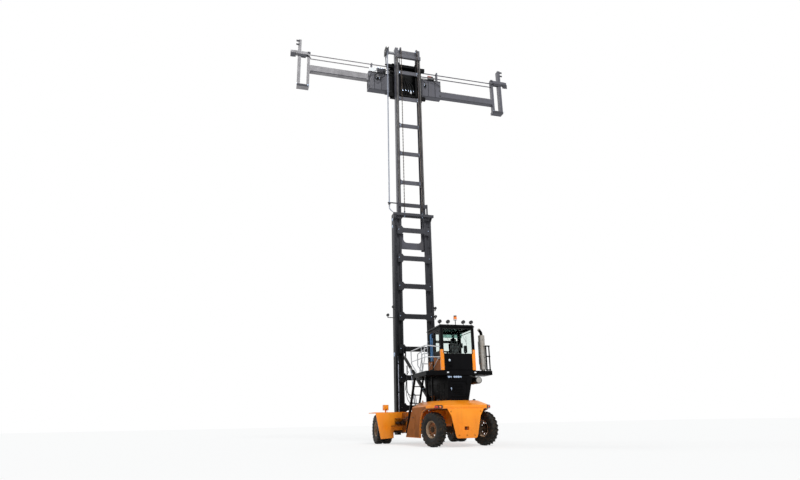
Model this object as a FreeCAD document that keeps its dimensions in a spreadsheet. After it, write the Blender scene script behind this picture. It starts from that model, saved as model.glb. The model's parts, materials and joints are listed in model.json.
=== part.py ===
import FreeCAD, Part
import functools
import math
import os
import types

import Sketcher
from FreeCAD import Placement, Rotation, Vector

# Empty container handler: a rear-steered truck with a two-stage mast, raised, and a side spreader
# opened to forty feet.  Millimetres.  +X is the machine's left, +Y its rear, +Z up.  The origin is on
# the ground, in the middle of the machine's length and width.

document = FreeCAD.newDocument("EmptyContainerHandler")

# ---------------------------------------------------------------- driving dimensions

SIZES = {
    # overall reach from the drive axle, forwards to the locks and back to the rear bumper
    "front_reach": 1540, "rear_reach": 5500, "rear_overhang": 720,
    # wheels: 12.00-24 tyres, twins in front
    "tyre_radius": 613, "tyre_width": 315, "tyre_bead_radius": 305, "tyre_shoulder": 55,
    "outer_tyre_place": 1942, "inner_tyre_place": 1582, "steer_tyre_place": 1060,
    "rim_wall": 20, "rim_width": 240, "rim_disc": 24, "hub_radius": 150, "hub_cap_radius": 95,
    "wheel_fit": 0.3,
    # axles
    "drive_axle_radius": 160, "drive_axle_half": 1395, "differential_radius": 250,
    "kingpin_place": 800, "kingpin_radius": 45, "knuckle_radius": 78, "knuckle_height": 160,
    "steer_rest": 19, "stub_radius": 55, "steer_beam_half": 110, "steer_beam_height": 210, "yoke_plate": 60,
    "yoke_radius": 88, "yoke_gap": 8,
    # chassis
    "rail_inside": 400, "rail_width": 220, "rail_top": 1300, "rail_arch": 830, "rail_bottom": 560,
    "rail_front": -60, "rail_rear_gap": 730, "spine_half": 270, "spine_bottom": 800,
    "cross_plate": 50, "tank_width": 420, "tank_bottom": 480, "tank_top": 950,
    "tank_front": 1000, "tank_rear": 1880,
    # front fenders
    "fender_rear": 740, "fender_plate": 60, "fender_outside": 2240, "fender_inside": 890,
    "fender_top": 1310, "fender_top_plate": 36, "fender_bottom": 220, "fender_foot_out": 2010,
    "fender_step": 1450, "fender_middle": 560, "fender_over": 1360, "fender_nose": -330,
    "headlamp_place": 1700, "headlamp_size": 230,
    # rear body
    "deck_half": 1270, "deck_bottom": 1330, "deck_lip": 1440, "deck_top": 1620, "deck_front": 3000,
    "deck_bend": 760, "deck_bend_in": 170, "deck_corner": 300, "deck_rear_in": 430, "deck_slope": 330,
    "side_plate": 60, "side_bottom": 300, "side_front": 2000,
    "arch_front_gap": 930, "arch_rear_gap": 50,
    "weight_half": 720, "weight_waist": 570, "weight_foot": 400, "weight_bottom": 300,
    "weight_waist_height": 1070, "weight_plate": 40, "weight_thick": 240, "weight_corner": 110,
    "weight_core_half": 265,
    "tow_pin_radius": 25, "tow_pin_height": 640,
    # engine housing and engine
    "housing_left": 475, "housing_right_low": 350, "housing_right_high": 560, "housing_front": 2250,
    "housing_rear": 4980, "housing_top": 2550, "housing_wall": 30, "hatch_right": 290,
    "hatch_left": 400, "hatch_low": 1700, "hatch_high": 2420, "hatch_gap": 6, "ear_inside": 500,
    "engine_left": 400, "engine_right": 280, "engine_front": 2600,
    "engine_rear": 4200, "engine_top": 2150,
    # working lamps on the mast
    "mast_lamp_low": 5660, "mast_lamp_high": 6070, "mast_lamp_arm": 360, "mast_lamp_stub": 85,
    "mast_lamp_stem": 70, "mast_lamp_rise": 120, "mast_lamp_radius": 62, "mast_lamp_depth": 55,
    # cab platform
    "platform_thick": 160, "platform_left": 1280, "platform_step": 800, "platform_front": 2250,
    "platform_left_front": 3430, "platform_rear": 5020, "platform_right": 1365,
    "platform_bay": 4250, "platform_right_front": 3300,
    # cab
    "cab_half": 700, "cab_front": 3500, "cab_rear": 5000, "cab_top": 4370,
    "cab_wall": 60, "roof_thick": 90, "roof_overhang": 40, "sill": 3340, "window_top": 4300,
    "window_margin": 110, "windscreen_sill": 2960, "door_front": 3640, "door_rear": 4140,
    "door_bottom": 2800, "door_sill": 3150, "door_gap": 6, "door_frame": 50, "side_window_front": 4320,
    "side_window_rear": 4880, "side_window_sill": 3450, "side_window_top": 4230, "glass_thick": 8,
    "seat_y": 4350, "seat_height": 460, "seat_back_height": 590,
    "wheel_ring_radius": 190, "hinge_pin": 9, "hinge_knuckle": 18, "hinge_height": 60,
    # exhaust and air intake
    "silencer_place": 1110, "silencer_depth": 4760, "silencer_radius": 125, "silencer_top": 4090,
    "outlet_radius": 55, "outlet_rise": 230, "guard_near": 95, "guard_far": 225, "guard_radius": 24,
    "guard_height": 980, "cleaner_place": 800, "cleaner_radius": 125, "cleaner_drop": 190,
    "cleaner_length": 660,
    # ladder and handrails
    "ladder_left": 1250, "ladder_right": 850, "ladder_foot": 450, "ladder_lean": 1400,
    "stringer_depth": 90, "stringer_thick": 20, "rail_tube": 21,
    "rail_height": 950,
    # outer mast
    "mast_inside": 800, "mast_width": 200, "mast_rear": -390, "mast_depth": 380, "mast_foot": 350,
    "mast_top": 11020, "mast_flange": 28, "mast_web": 40, "beam_height": 230, "beam_depth": 100,
    "beam_level_1": 1500, "beam_level_2": 2840, "beam_level_3": 4160, "beam_level_4": 5710,
    "beam_level_5": 7200, "beam_level_6": 8620, "beam_level_7": 10090,
    "beam_gap": 8, "beam_half": 840, "beam_rounding": 110, "mast_pivot_y": -580,
    "mast_pivot_height": 620, "mast_pin_radius": 50,
    "pin_fit": 0.3, "hanger_plate": 90,
    # lift cylinders
    "lift_place": 660, "lift_y": -385, "barrel_radius": 65, "rod_radius": 42,
    "barrel_foot": 420, "barrel_rise": 550, "tie_height": 200, "lift_rod_sunk": 700,
    # inner mast
    "inner_inside": 557, "inner_width": 168, "inner_rear": -460, "inner_depth": 310,
    "inner_foot": 9160, "inner_top": 21140, "inner_flange": 30, "inner_web": 40,
    "inner_beam_drop": 1600, "inner_beam_pitch": 1680, "inner_beam_count": 5,
    "inner_rounding": 100, "head_beam_height": 470, "foot_plate_height": 820, "foot_rounding": 200,
    "roller_spread": 960,
    "inner_beam_height": 210, "inner_beam_depth": 60, "roller_shaft": 45,
    "crosshead_drop": 700, "crosshead_height": 210, "sheave_radius": 200, "sheave_width": 50,
    "sheave_place": 470, "sheave_y": -350, "sheave_lift": 30, "sheave_axle": 30,
    # chains and hoses
    "chain_width": 44, "chain_thick": 36, "anchor_drop": 120, "anchor_bar_half": 1060,
    "anchor_bar_height": 130, "anchor_bar_depth": 110, "tie_half": 800,
    "hose_place": 1190, "hose_y": -620, "hose_radius": 17, "hose_wheel_radius": 170,
    # carriage and shift frame
    "carriage_inside": 440, "carriage_plate": 105, "carriage_rear": -540, "carriage_drop": 910,
    "carriage_height": 2080, "guide_half": 1100, "guide_rear": -790, "guide_depth": 140,
    "guide_height": 200, "shift_half": 930, "shift_gap": 0.3, "shift_plate": 90,
    "slope_pin_rise": 1010, "slope_pin_radius": 90, "slope_pin_seat": 48,
    # spreader
    "spreader_rear": -1060, "spreader_depth": 360, "spreader_half": 2150, "spreader_rise": 450,
    "spreader_height": 1120, "arm_depth": 240, "arm_height": 400, "left_arm_rise": 600,
    "right_arm_rise": 100, "arm_fit": 6, "pad_gap": 0.3, "arm_root": 1000,
    "lock_span": 5992, "lock_to_post": 572, "end_post": 130, "end_frame_width": 490,
    "end_drop": 400, "end_height": 2250, "stub_height": 700, "lock_drop": 100, "lock_radius": 30,
    "hook_length": 410, "stay_radius": 28, "stay_low_rise": 270, "stay_gap": 250, "stay_root": 900,
    # tilt cylinders
    "tilt_place": 640, "tilt_mast_y": -150, "tilt_mast_height": 3770, "tilt_foot_y": 3330,
    "tilt_foot_height": 1720, "tilt_barrel_radius": 80, "tilt_rod_radius": 45, "tilt_pin_radius": 40,
    "tilt_eye_pin_radius": 30, "tilt_rod_out": 1500, "tilt_rod_sunk": 700, "tilt_knuckle_radius": 85,
}

sheet = document.addObject("Spreadsheet::Sheet", "Sizes")
for row, (alias, number) in enumerate(SIZES.items(), start=1):
    sheet.set(f"A{row}", alias)
    sheet.set(f"B{row}", str(number))
    sheet.setAlias(f"B{row}", alias)
document.recompute()


class Length:
    """A length in millimetres together with the sheet expression that gives it."""

    def __init__(self, value, text):
        self.value = value
        self.text = text

    def __add__(self, other):
        other = length(other)
        return Length(self.value + other.value, f"({self.text} + {other.text})")

    def __sub__(self, other):
        other = length(other)
        return Length(self.value - other.value, f"({self.text} - {other.text})")

    def __mul__(self, factor):
        return Length(self.value * factor, f"({self.text} * {factor})")

    def __truediv__(self, divisor):
        return Length(self.value / divisor, f"({self.text} / {divisor})")

    def __neg__(self):
        return Length(-self.value, f"(0 - {self.text})")

    def __radd__(self, other):
        return length(other) + self

    def __rsub__(self, other):
        return length(other) - self

    __rmul__ = __mul__


def length(thing):
    """Take a Length as it is and a bare number as a fixed Length."""
    return thing if isinstance(thing, Length) else Length(thing, repr(float(thing)))


d = types.SimpleNamespace(**{
    alias: Length(float(sheet.get(alias)), f"Sizes.{alias}") for alias in SIZES
})

axle_y = (d.front_reach - d.rear_reach) / 2
wheelbase = d.rear_reach - d.rear_overhang
steer_y = axle_y + wheelbase
rail_rear = wheelbase - d.rail_rear_gap
side_rear = wheelbase - d.arch_front_gap
arch_top_rear = wheelbase - d.arch_rear_gap


def back(distance):
    """A place along the machine, measured rearwards from the drive axle."""
    return axle_y + distance


cab_floor = d.housing_top + d.platform_thick
tilt_knuckle_half = d.tilt_barrel_radius + 4
barrel_top = d.mast_top + d.barrel_rise
anchor_height = d.mast_top - d.anchor_drop
crosshead_bottom = d.inner_top - d.crosshead_drop
axle_height = crosshead_bottom + d.crosshead_height + d.sheave_radius + d.sheave_lift
chain_rear_y = back(d.sheave_y) + d.sheave_radius
chain_front_y = back(d.sheave_y) - d.sheave_radius
carriage_top = d.inner_top - d.carriage_drop
carriage_foot = carriage_top - d.carriage_height
slope_pin_height = carriage_foot + d.slope_pin_rise
spreader_bottom = carriage_foot + d.spreader_rise
spreader_top = spreader_bottom + d.spreader_height
end_bottom = spreader_bottom - d.end_drop
end_top = end_bottom + d.end_height
lock_height = end_top - d.lock_drop
arm_tip = d.lock_span - d.lock_to_post
stay_low = spreader_top + d.stay_low_rise
stay_high = stay_low + d.stay_gap


# ---------------------------------------------------------------- building blocks

def bind(item, field, value):
    """Set a property and tie it to the sheet."""
    value = length(value)
    item.setExpression(field, value.text)


def put(item, corner, turn=None):
    """Place an item at a bound corner, after an optional fixed turn."""
    places = [length(value) for value in corner]
    item.Placement = Placement(Vector(*[p.value for p in places]), turn or Rotation())
    for field, place in zip("xyz", places):
        item.setExpression(f"Placement.Base.{field}", place.text)


def box(name, xs, ys, zs):
    """A block between two places along each axis."""
    item = document.addObject("Part::Box", name)
    for field, (low, high) in zip(("Length", "Width", "Height"), (xs, ys, zs)):
        bind(item, field, length(high) - low)
    put(item, (xs[0], ys[0], zs[0]))
    return item


TURNS = {"x": Rotation(Vector(0, 1, 0), 90), "y": Rotation(Vector(1, 0, 0), -90), "z": Rotation()}


def rod(name, axis, start, end, across, radius):
    """A round bar along an axis; across gives its place on the other two axes in order."""
    item = document.addObject("Part::Cylinder", name)
    bind(item, "Radius", radius)
    bind(item, "Height", length(end) - start)
    place = {"x": (start, *across), "y": (across[0], start, across[1]), "z": (*across, start)}[axis]
    put(item, place, TURNS[axis])
    return item


def strut(name, start, end, radius):
    """A round bar between two points that need not lie along an axis."""
    a = Vector(*[length(value).value for value in start])
    b = Vector(*[length(value).value for value in end])
    item = document.addObject("Part::Cylinder", name)
    bind(item, "Radius", radius)
    item.Height = (b - a).Length
    put(item, start, Rotation(Vector(0, 0, 1), b - a))
    return item


PLANES = {"x": ("YZ_Plane", 1), "y": ("XZ_Plane", -1), "z": ("XY_Plane", 1)}


def outline(body, name, axis, points, offset):
    """A closed sketch through bound points, on an origin plane of its body moved by an offset."""
    role, sign = PLANES[axis]
    sketch = body.newObject("Sketcher::SketchObject", name)
    plane = next(item for item in body.Origin.OriginFeatures if item.Role == role)
    sketch.AttachmentSupport = [(plane, "")]
    sketch.MapMode = "FlatFace"
    sketch.setExpression("AttachmentOffset.Base.z", (length(offset) * sign).text)
    corners = [(length(u), length(v)) for u, v in points]
    spots = [Vector(u.value, v.value, 0) for u, v in corners]
    for index, spot in enumerate(spots):
        sketch.addGeometry(Part.LineSegment(spot, spots[(index + 1) % len(spots)]), False)
    for index, (u, v) in enumerate(corners):
        following = (index + 1) % len(spots)
        sketch.addConstraint(Sketcher.Constraint("Coincident", index, 2, following, 1))
        for kind, place in (("DistanceX", u), ("DistanceY", v)):
            number = sketch.addConstraint(Sketcher.Constraint(kind, -1, 1, index, 1, place.value))
            sketch.setExpression(f"Constraints[{number}]", place.text)
    return sketch


def prism(name, axis, points, start, end, rounded=None):
    """An outline padded along an axis from start to end; rounded is (corner numbers, radius)."""
    body = document.addObject("PartDesign::Body", name)
    sign = PLANES[axis][1]
    near, far = (start, end) if sign > 0 else (end, start)
    sketch = outline(body, name + "_outline", axis, points, near)
    pad = body.newObject("PartDesign::Pad", name + "_pad")
    pad.Profile = sketch
    bind(pad, "Length", (length(far) - near) * sign)
    if rounded:
        document.recompute()
        corners, radius = rounded
        spots = [tuple(length(value).value for value in points[corner]) for corner in corners]
        edges = [f"Edge{number}" for number, edge in enumerate(pad.Shape.Edges, start=1)
                 if runs_along(edge, axis) and across(edge, axis) in [rounded_spot(s) for s in spots]]
        fillet = body.newObject("PartDesign::Fillet", name + "_rounding")
        fillet.Base = (pad, edges)
        bind(fillet, "Radius", radius)
    return body


def runs_along(edge, axis):
    """Whether a straight edge lies along an axis."""
    direction = edge.Vertexes[-1].Point - edge.Vertexes[0].Point
    return abs(getattr(direction, axis)) > 0.999 * direction.Length


def rounded_spot(spot):
    return tuple(round(value, 2) for value in spot)


def across(edge, axis):
    """The two coordinates of an edge's start that lie across an axis."""
    point = edge.Vertexes[0].Point
    return rounded_spot([getattr(point, letter) for letter in "xyz" if letter != axis])


def tapered(name, low, low_height, high, high_height):
    """A straight-sided block between two level outlines with the same number of corners."""
    body = document.addObject("PartDesign::Body", name)
    base = outline(body, name + "_base", "z", low, low_height)
    top = outline(body, name + "_top", "z", high, high_height)
    loft = body.newObject("PartDesign::AdditiveLoft", name + "_loft")
    loft.Profile = base
    loft.Sections = [top]
    loft.Ruled = True
    return body


def turned(name, points, place_x, place_y, place_z):
    """A profile of (along X, radius) points turned about an X axis through a place."""
    body = document.addObject("PartDesign::Body", name)
    sketch = outline(body, name + "_profile", "y", points, 0)
    turn = body.newObject("PartDesign::Revolution", name + "_turn")
    turn.Profile = sketch
    turn.ReferenceAxis = (sketch, ["H_Axis"])
    turn.Angle = 360
    put(body, (place_x, place_y, place_z))
    return body


def fuse(name, parts):
    item = document.addObject("Part::MultiFuse", name)
    item.Shapes = parts
    return item


def cut(name, base, tool):
    item = document.addObject("Part::Cut", name)
    item.Base = base
    item.Tool = tool
    return item


def group(name, parts):
    """Separate solids that share a sub-part."""
    item = document.addObject("Part::Compound", name)
    item.Links = parts
    return item


def mirrored(name, source):
    """The other hand of an item, across the machine's middle plane."""
    item = document.addObject("Part::Mirroring", name)
    item.Source = source
    item.Normal = Vector(1, 0, 0)
    item.Base = Vector(0, 0, 0)
    return item


def both_sides(name, left):
    """A sub-part with the same item on the left and on the right."""
    return group(name, [left, mirrored(name + "_other", left)])


def pipe(name, points, radius, bend):
    """A round tube along straight runs joined by tangent arcs."""
    spots = [Vector(*[length(value).value for value in point]) for point in points]
    edges = []
    start = spots[0]
    for before, corner, after in zip(spots, spots[1:], spots[2:]):
        into = (corner - before).normalize()
        out = (after - corner).normalize()
        half = into.getAngle(out) / 2
        reach = length(bend).value * math.tan(half)
        first = corner - into * reach
        last = corner + out * reach
        inward = (out - into).normalize()
        middle = corner + inward * (length(bend).value * (1 / math.cos(half) - 1))
        edges.append(Part.LineSegment(start, first).toShape())
        edges.append(Part.Arc(first, middle, last).toShape())
        start = last
    edges.append(Part.LineSegment(start, spots[-1]).toShape())
    path = Part.Wire(edges)
    ring = Part.Wire(Part.Circle(spots[0], spots[1] - spots[0], length(radius).value).toShape())
    item = document.addObject("Part::Feature", name)
    item.Shape = path.makePipeShell([ring], True, False)
    return item


def hinge_halves(name, place, plate_in, plate_out, levels):
    """Fixed plates with pins and the leaf's knuckles for a door; place is the hinge line.

    plate_in and plate_out give the x and y ranges of the fixed plate and of the leaf's plate."""
    fixed = []
    leaf = []
    for index, level in enumerate(levels):
        low = length(level)
        high = low + d.hinge_height
        fixed.append(box(f"{name}_fixed_{index}", *plate_in, (low, high)))
        fixed.append(rod(f"{name}_pin_{index}", "z", low, high + d.hinge_height, place, d.hinge_pin))
        fixed.append(rod(f"{name}_base_{index}", "z", low, high, place, d.hinge_knuckle))
        ring = rod(f"{name}_ring_{index}", "z", high + d.pin_fit, high + d.hinge_height, place,
                   d.hinge_knuckle)
        plate = box(f"{name}_leaf_{index}", *plate_out, (high + d.pin_fit, high + d.hinge_height))
        bore = rod(f"{name}_bore_{index}", "z", high, high + d.hinge_height + 1, place,
                   d.hinge_pin + d.pin_fit)
        leaf.append(cut(f"{name}_knuckle_{index}", fuse(f"{name}_swing_{index}", [ring, plate]), bore))
    return fixed, leaf


def steered(name, item, side):
    """A steering wheel's item, turned about its kingpin to the angle that the wheels stand at."""
    angle = f"{d.steer_rest.text} * 1 deg"
    x, y = d.kingpin_place * side, steer_y
    whole = group(name, [item])
    whole.Placement = Placement(Vector(), Rotation(Vector(0, 0, 1), d.steer_rest.value))
    whole.setExpression("Placement.Rotation.Angle", angle)
    whole.setExpression("Placement.Base.x", f"{x.text} * (1 - cos({angle})) + {y.text} * sin({angle})")
    whole.setExpression("Placement.Base.y", f"{y.text} * (1 - cos({angle})) - {x.text} * sin({angle})")
    return whole


sub_parts = []


def sub_part(item, name):
    """Keep an item as a sub-part of the machine under its own label."""
    item.Label = name
    sub_parts.append(item)
    return item


# ---------------------------------------------------------------- wheels

def tyre_profile():
    """Half a tyre's section: bead, sidewall, shoulder and a slightly crowned tread."""
    half = d.tyre_width / 2
    bead = half * 0.78
    side = d.tyre_bead_radius + (d.tyre_radius - d.tyre_bead_radius) * 0.45
    crown = half * 0.55
    return [
        (-bead, d.tyre_bead_radius), (bead, d.tyre_bead_radius), (half, side),
        (half - 6, d.tyre_radius - d.tyre_shoulder * 1.3), (half - d.tyre_shoulder * 0.5, d.tyre_radius - 20),
        (crown, d.tyre_radius), (-crown, d.tyre_radius),
        (-half + d.tyre_shoulder * 0.5, d.tyre_radius - 20),
        (-half + 6, d.tyre_radius - d.tyre_shoulder * 1.3), (-half, side),
    ]


def rim_profile(disc_place):
    """A rim barrel with flanges and its disc; disc_place is the disc's middle along the axle."""
    half = d.rim_width / 2
    outside = d.tyre_bead_radius - d.wheel_fit
    inside = outside - d.rim_wall
    disc = d.rim_disc / 2
    return [
        (-half, inside), (disc_place - disc, inside), (disc_place - disc, 0), (disc_place + disc, 0),
        (disc_place + disc, inside), (half, inside), (half, outside), (-half, outside),
    ]


def twin_wheel(side, name):
    """Two tyres on their rims and one hub, on one side of the drive axle."""
    tyres = []
    discs = []
    for spot, place in (("inner", d.inner_tyre_place), ("outer", d.outer_tyre_place)):
        tyres.append(turned(f"{name}_{spot}_tyre", tyre_profile(), place * side, axle_y, d.tyre_radius))
        discs.append(turned(f"{name}_{spot}_rim", rim_profile(length(0)), place * side, axle_y,
                            d.tyre_radius))
    sub_part(group(f"{name}_tyres", tyres), f"{name}_tyres")
    hub_in = d.drive_axle_half + d.wheel_fit
    hub_out = d.outer_tyre_place + 90
    ends = (hub_in, hub_out) if side > 0 else (-hub_out, -hub_in)
    hub = rod(f"{name}_hub", "x", *ends, (axle_y, d.tyre_radius), d.hub_radius)
    sub_part(fuse(f"{name}_rims", discs + [hub]), f"{name}_rims")


def steer_wheel(side, name):
    """One tyre on its dished rim, on the steering knuckle's stub axle."""
    place = d.steer_tyre_place * side
    tyre = turned(f"{name}_tyre_body", tyre_profile(), place, steer_y, d.tyre_radius)
    sub_part(steered(f"{name}_tyre_turned", tyre, side), f"{name}_tyre")
    disc = turned(f"{name}_disc", rim_profile(length(0)), place, steer_y, d.tyre_radius)
    inner = d.steer_tyre_place - 30
    outer = d.steer_tyre_place + 100
    ends = (inner, outer) if side > 0 else (-outer, -inner)
    hub = rod(f"{name}_hub", "x", *ends, (steer_y, d.tyre_radius), d.hub_cap_radius)
    rim = fuse(f"{name}_rim_body", [disc, hub])
    sub_part(steered(f"{name}_rim_turned", rim, side), f"{name}_rim")


for side, hand in ((1, "left"), (-1, "right")):
    twin_wheel(side, f"front_{hand}")
    steer_wheel(side, f"rear_{hand}")


# ---------------------------------------------------------------- axles

def drive_axle():
    """Axle tube, differential bowl and the two hangers that carry the mast's foot pins."""
    tube, bowl, half = d.drive_axle_radius, d.differential_radius, d.drive_axle_half
    beam = turned("axle_tube", [(-half, 0), (half, 0), (half, tube), (300, tube), (190, bowl - 30),
                                (90, bowl), (-90, bowl), (-190, bowl - 30), (-300, tube), (-half, tube)],
                  0, axle_y, d.tyre_radius)
    hanger_in = d.mast_inside + d.mast_width + 12
    pivot = back(d.mast_pivot_y)
    reach = d.mast_pin_radius * 2
    shape = [
        (axle_y, d.tyre_radius - d.drive_axle_radius), (axle_y, d.tyre_radius + d.drive_axle_radius),
        (pivot, d.mast_pivot_height + reach), (pivot - reach, d.mast_pivot_height),
        (pivot, d.mast_pivot_height - reach),
    ]
    plate = prism("hanger", "x", shape, hanger_in, hanger_in + d.hanger_plate)
    pin = rod("hanger_pin", "x", d.mast_inside + d.mast_width - d.mast_web, hanger_in + 1,
              (pivot, d.mast_pivot_height), d.mast_pin_radius)
    arm = fuse("hanger_left", [plate, pin])
    seat = d.rail_inside + d.rail_width / 2
    pad = box("axle_seat", (seat - 90, seat + 90), (axle_y - 120, axle_y + 120),
              (d.tyre_radius, d.rail_arch))
    return fuse("drive_axle_body", [beam, arm, mirrored("hanger_right", arm),
                                    pad, mirrored("axle_seat_right", pad)])


def knuckle(side, name):
    """Steering knuckle: boss on the kingpin and the stub axle that carries the wheel."""
    place = d.kingpin_place * side
    half = d.knuckle_height / 2
    boss = rod(f"{name}_boss", "z", d.tyre_radius - half, d.tyre_radius + half, (place, steer_y),
               d.knuckle_radius)
    tip = d.steer_tyre_place - 30 - d.wheel_fit
    ends = (d.kingpin_place, tip) if side > 0 else (-tip, -d.kingpin_place)
    stub = rod(f"{name}_stub", "x", *ends, (steer_y, d.tyre_radius), d.stub_radius)
    lower = rod(f"{name}_pin", "z", d.tyre_radius - half - d.yoke_plate, d.tyre_radius + half +
                d.yoke_plate, (place, steer_y), d.kingpin_radius)
    return steered(f"{name}_turned", fuse(f"{name}_body", [boss, stub, lower]), side)


def steer_axle():
    """Box beam with a yoke at each end, hung under the chassis on its middle trunnion."""
    half = d.steer_beam_height / 2
    root = d.kingpin_place - d.yoke_radius - 30
    beam = box("steer_beam", (-root, root), (steer_y - d.steer_beam_half, steer_y + d.steer_beam_half),
               (d.tyre_radius - half, d.tyre_radius + half))
    trunnion = rod("trunnion", "y", steer_y - 260, steer_y + 260,
                   (0, d.tyre_radius + half), d.spine_bottom - d.tyre_radius - half - 2)
    hanger = box("trunnion_block", (-d.spine_half + 60, d.spine_half - 60),
                 (steer_y - 240, steer_y + 240), (d.tyre_radius + half, d.spine_bottom))
    plates = []
    gap = d.knuckle_height / 2 + d.yoke_gap
    for level, low in (("upper", d.tyre_radius + gap), ("lower", d.tyre_radius - gap - d.yoke_plate)):
        eye = rod(f"yoke_{level}_eye", "z", low, low + d.yoke_plate, (d.kingpin_place, steer_y),
                  d.yoke_radius)
        arm = box(f"yoke_{level}_arm", (root - 10, d.kingpin_place),
                  (steer_y - d.yoke_radius, steer_y + d.yoke_radius), (low, low + d.yoke_plate))
        blank = fuse(f"yoke_{level}", [eye, arm])
        hole = rod(f"yoke_{level}_hole", "z", low - 1, low + d.yoke_plate + 1,
                   (d.kingpin_place, steer_y), d.kingpin_radius + d.wheel_fit)
        plates.append(cut(f"yoke_{level}_bored", blank, hole))
    bridge_low = d.tyre_radius - gap - d.yoke_plate
    bridge_high = d.tyre_radius + gap + d.yoke_plate
    bridge = box("yoke_bridge", (root - 60, root), (steer_y - d.yoke_radius, steer_y + d.yoke_radius),
                 (bridge_low, bridge_high))
    end = fuse("yoke_end", plates + [bridge])
    return fuse("steer_axle_body", [beam, trunnion, hanger, end, mirrored("yoke_end_right", end)])


sub_part(drive_axle(), "drive_axle")
sub_part(steer_axle(), "steer_axle")
sub_part(knuckle(1, "knuckle_left"), "knuckle_left")
sub_part(knuckle(-1, "knuckle_right"), "knuckle_right")


# ---------------------------------------------------------------- chassis

def chassis_frame():
    """Two deep rails, the narrow rear spine, cross plates and the side tanks."""
    arch = 330
    shape = [
        (back(d.rail_front), d.rail_arch), (back(arch), d.rail_arch),
        (back(arch + 220), d.rail_bottom), (back(rail_rear - 350), d.rail_bottom),
        (back(rail_rear), d.spine_bottom), (back(rail_rear), d.rail_top),
        (back(d.rail_front), d.rail_top),
    ]
    outside = d.rail_inside + d.rail_width
    left = prism("rail_left", "x", shape, d.rail_inside, outside)
    pieces = [left, mirrored("rail_right", left)]
    low = d.rail_top - 260
    for name, place in (("front", 120), ("middle", 1500), ("rear", rail_rear - 200)):
        pieces.append(box(f"cross_{name}", (-d.rail_inside, d.rail_inside),
                          (back(place), back(place) + 200), (low, d.rail_top)))
    pieces.append(box("engine_bearer", (-d.rail_inside, d.rail_inside),
                      (back(d.engine_front - 100), back(d.engine_rear - 400)),
                      (d.rail_top - d.cross_plate, d.rail_top)))
    pieces.append(box("spine", (-d.spine_half, d.spine_half),
                      (back(rail_rear - 200), back(d.rear_reach) - d.weight_thick),
                      (d.spine_bottom, d.rail_top)))
    pieces.append(box("tank_left", (outside, outside + d.tank_width),
                      (back(d.tank_front), back(d.tank_rear)), (d.tank_bottom, d.tank_top)))
    pieces.append(box("tank_right", (-outside - d.tank_width, -outside),
                      (back(d.tank_front), back(d.tank_rear)), (d.tank_bottom, d.tank_top)))
    ear_out = d.tilt_place - tilt_knuckle_half - d.pin_fit
    ear = box("tilt_ear", (d.ear_inside, ear_out),
              (back(d.tilt_foot_y - 160), back(d.tilt_foot_y + 160)),
              (d.rail_top, d.tilt_foot_height + 130))
    pieces += [ear, mirrored("tilt_ear_right", ear)]
    pin = rod("tilt_pin", "x", ear_out - 10, d.tilt_place + tilt_knuckle_half + 15,
              (back(d.tilt_foot_y), d.tilt_foot_height), d.tilt_pin_radius)
    pieces += [pin, mirrored("tilt_pin_right", pin)]
    return fuse("chassis_body", pieces)


def front_fenders():
    """Plate behind the twin wheels, the top plate over them and a lamp housing, each side."""
    front = back(d.fender_rear) - d.fender_plate
    rail_side = d.rail_inside + d.rail_width
    shape = [
        (rail_side, d.fender_top - 360), (d.fender_inside, d.fender_top - 410),
        (d.fender_inside, d.fender_middle), (d.fender_step, d.fender_middle),
        (d.fender_step, d.fender_bottom + 30), (d.fender_foot_out, d.fender_bottom),
        (d.fender_outside, d.fender_top), (rail_side, d.fender_top),
    ]
    plate = prism("fender_plate_left", "y", shape, front, back(d.fender_rear))
    top = box("fender_top_left", (d.fender_over, d.fender_outside + 60),
              (back(d.fender_nose), front + 1), (d.fender_top - d.fender_top_plate, d.fender_top))
    post = box("lamp_post_left", (d.headlamp_place - 30, d.headlamp_place + 30),
               (back(330), back(370)), (d.fender_top - 1, d.fender_top + 90))
    half = d.headlamp_size / 2
    lamp = box("lamp_left", (d.headlamp_place - half, d.headlamp_place + half),
               (back(270), back(430)), (d.fender_top + 85, d.fender_top + 85 + d.headlamp_size))
    return both_sides("fenders", fuse("fender_left", [plate, top, post, lamp]))


sub_part(chassis_frame(), "chassis_frame")
sub_part(front_fenders(), "front_fenders")


# ---------------------------------------------------------------- rear body

def deck_outline(inset):
    """The rear deck's plan, with each rear corner cut twice, drawn in by an inset."""
    rear = back(d.rear_reach) - 40 - inset
    half = d.deck_half - inset
    bend, middle, end = half, half - d.deck_bend_in, half - d.deck_rear_in
    return [
        (-half, back(d.deck_front)), (half, back(d.deck_front)), (bend, rear - d.deck_bend),
        (middle, rear - d.deck_corner), (end, rear), (-end, rear), (-middle, rear - d.deck_corner),
        (-bend, rear - d.deck_bend),
    ]


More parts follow.
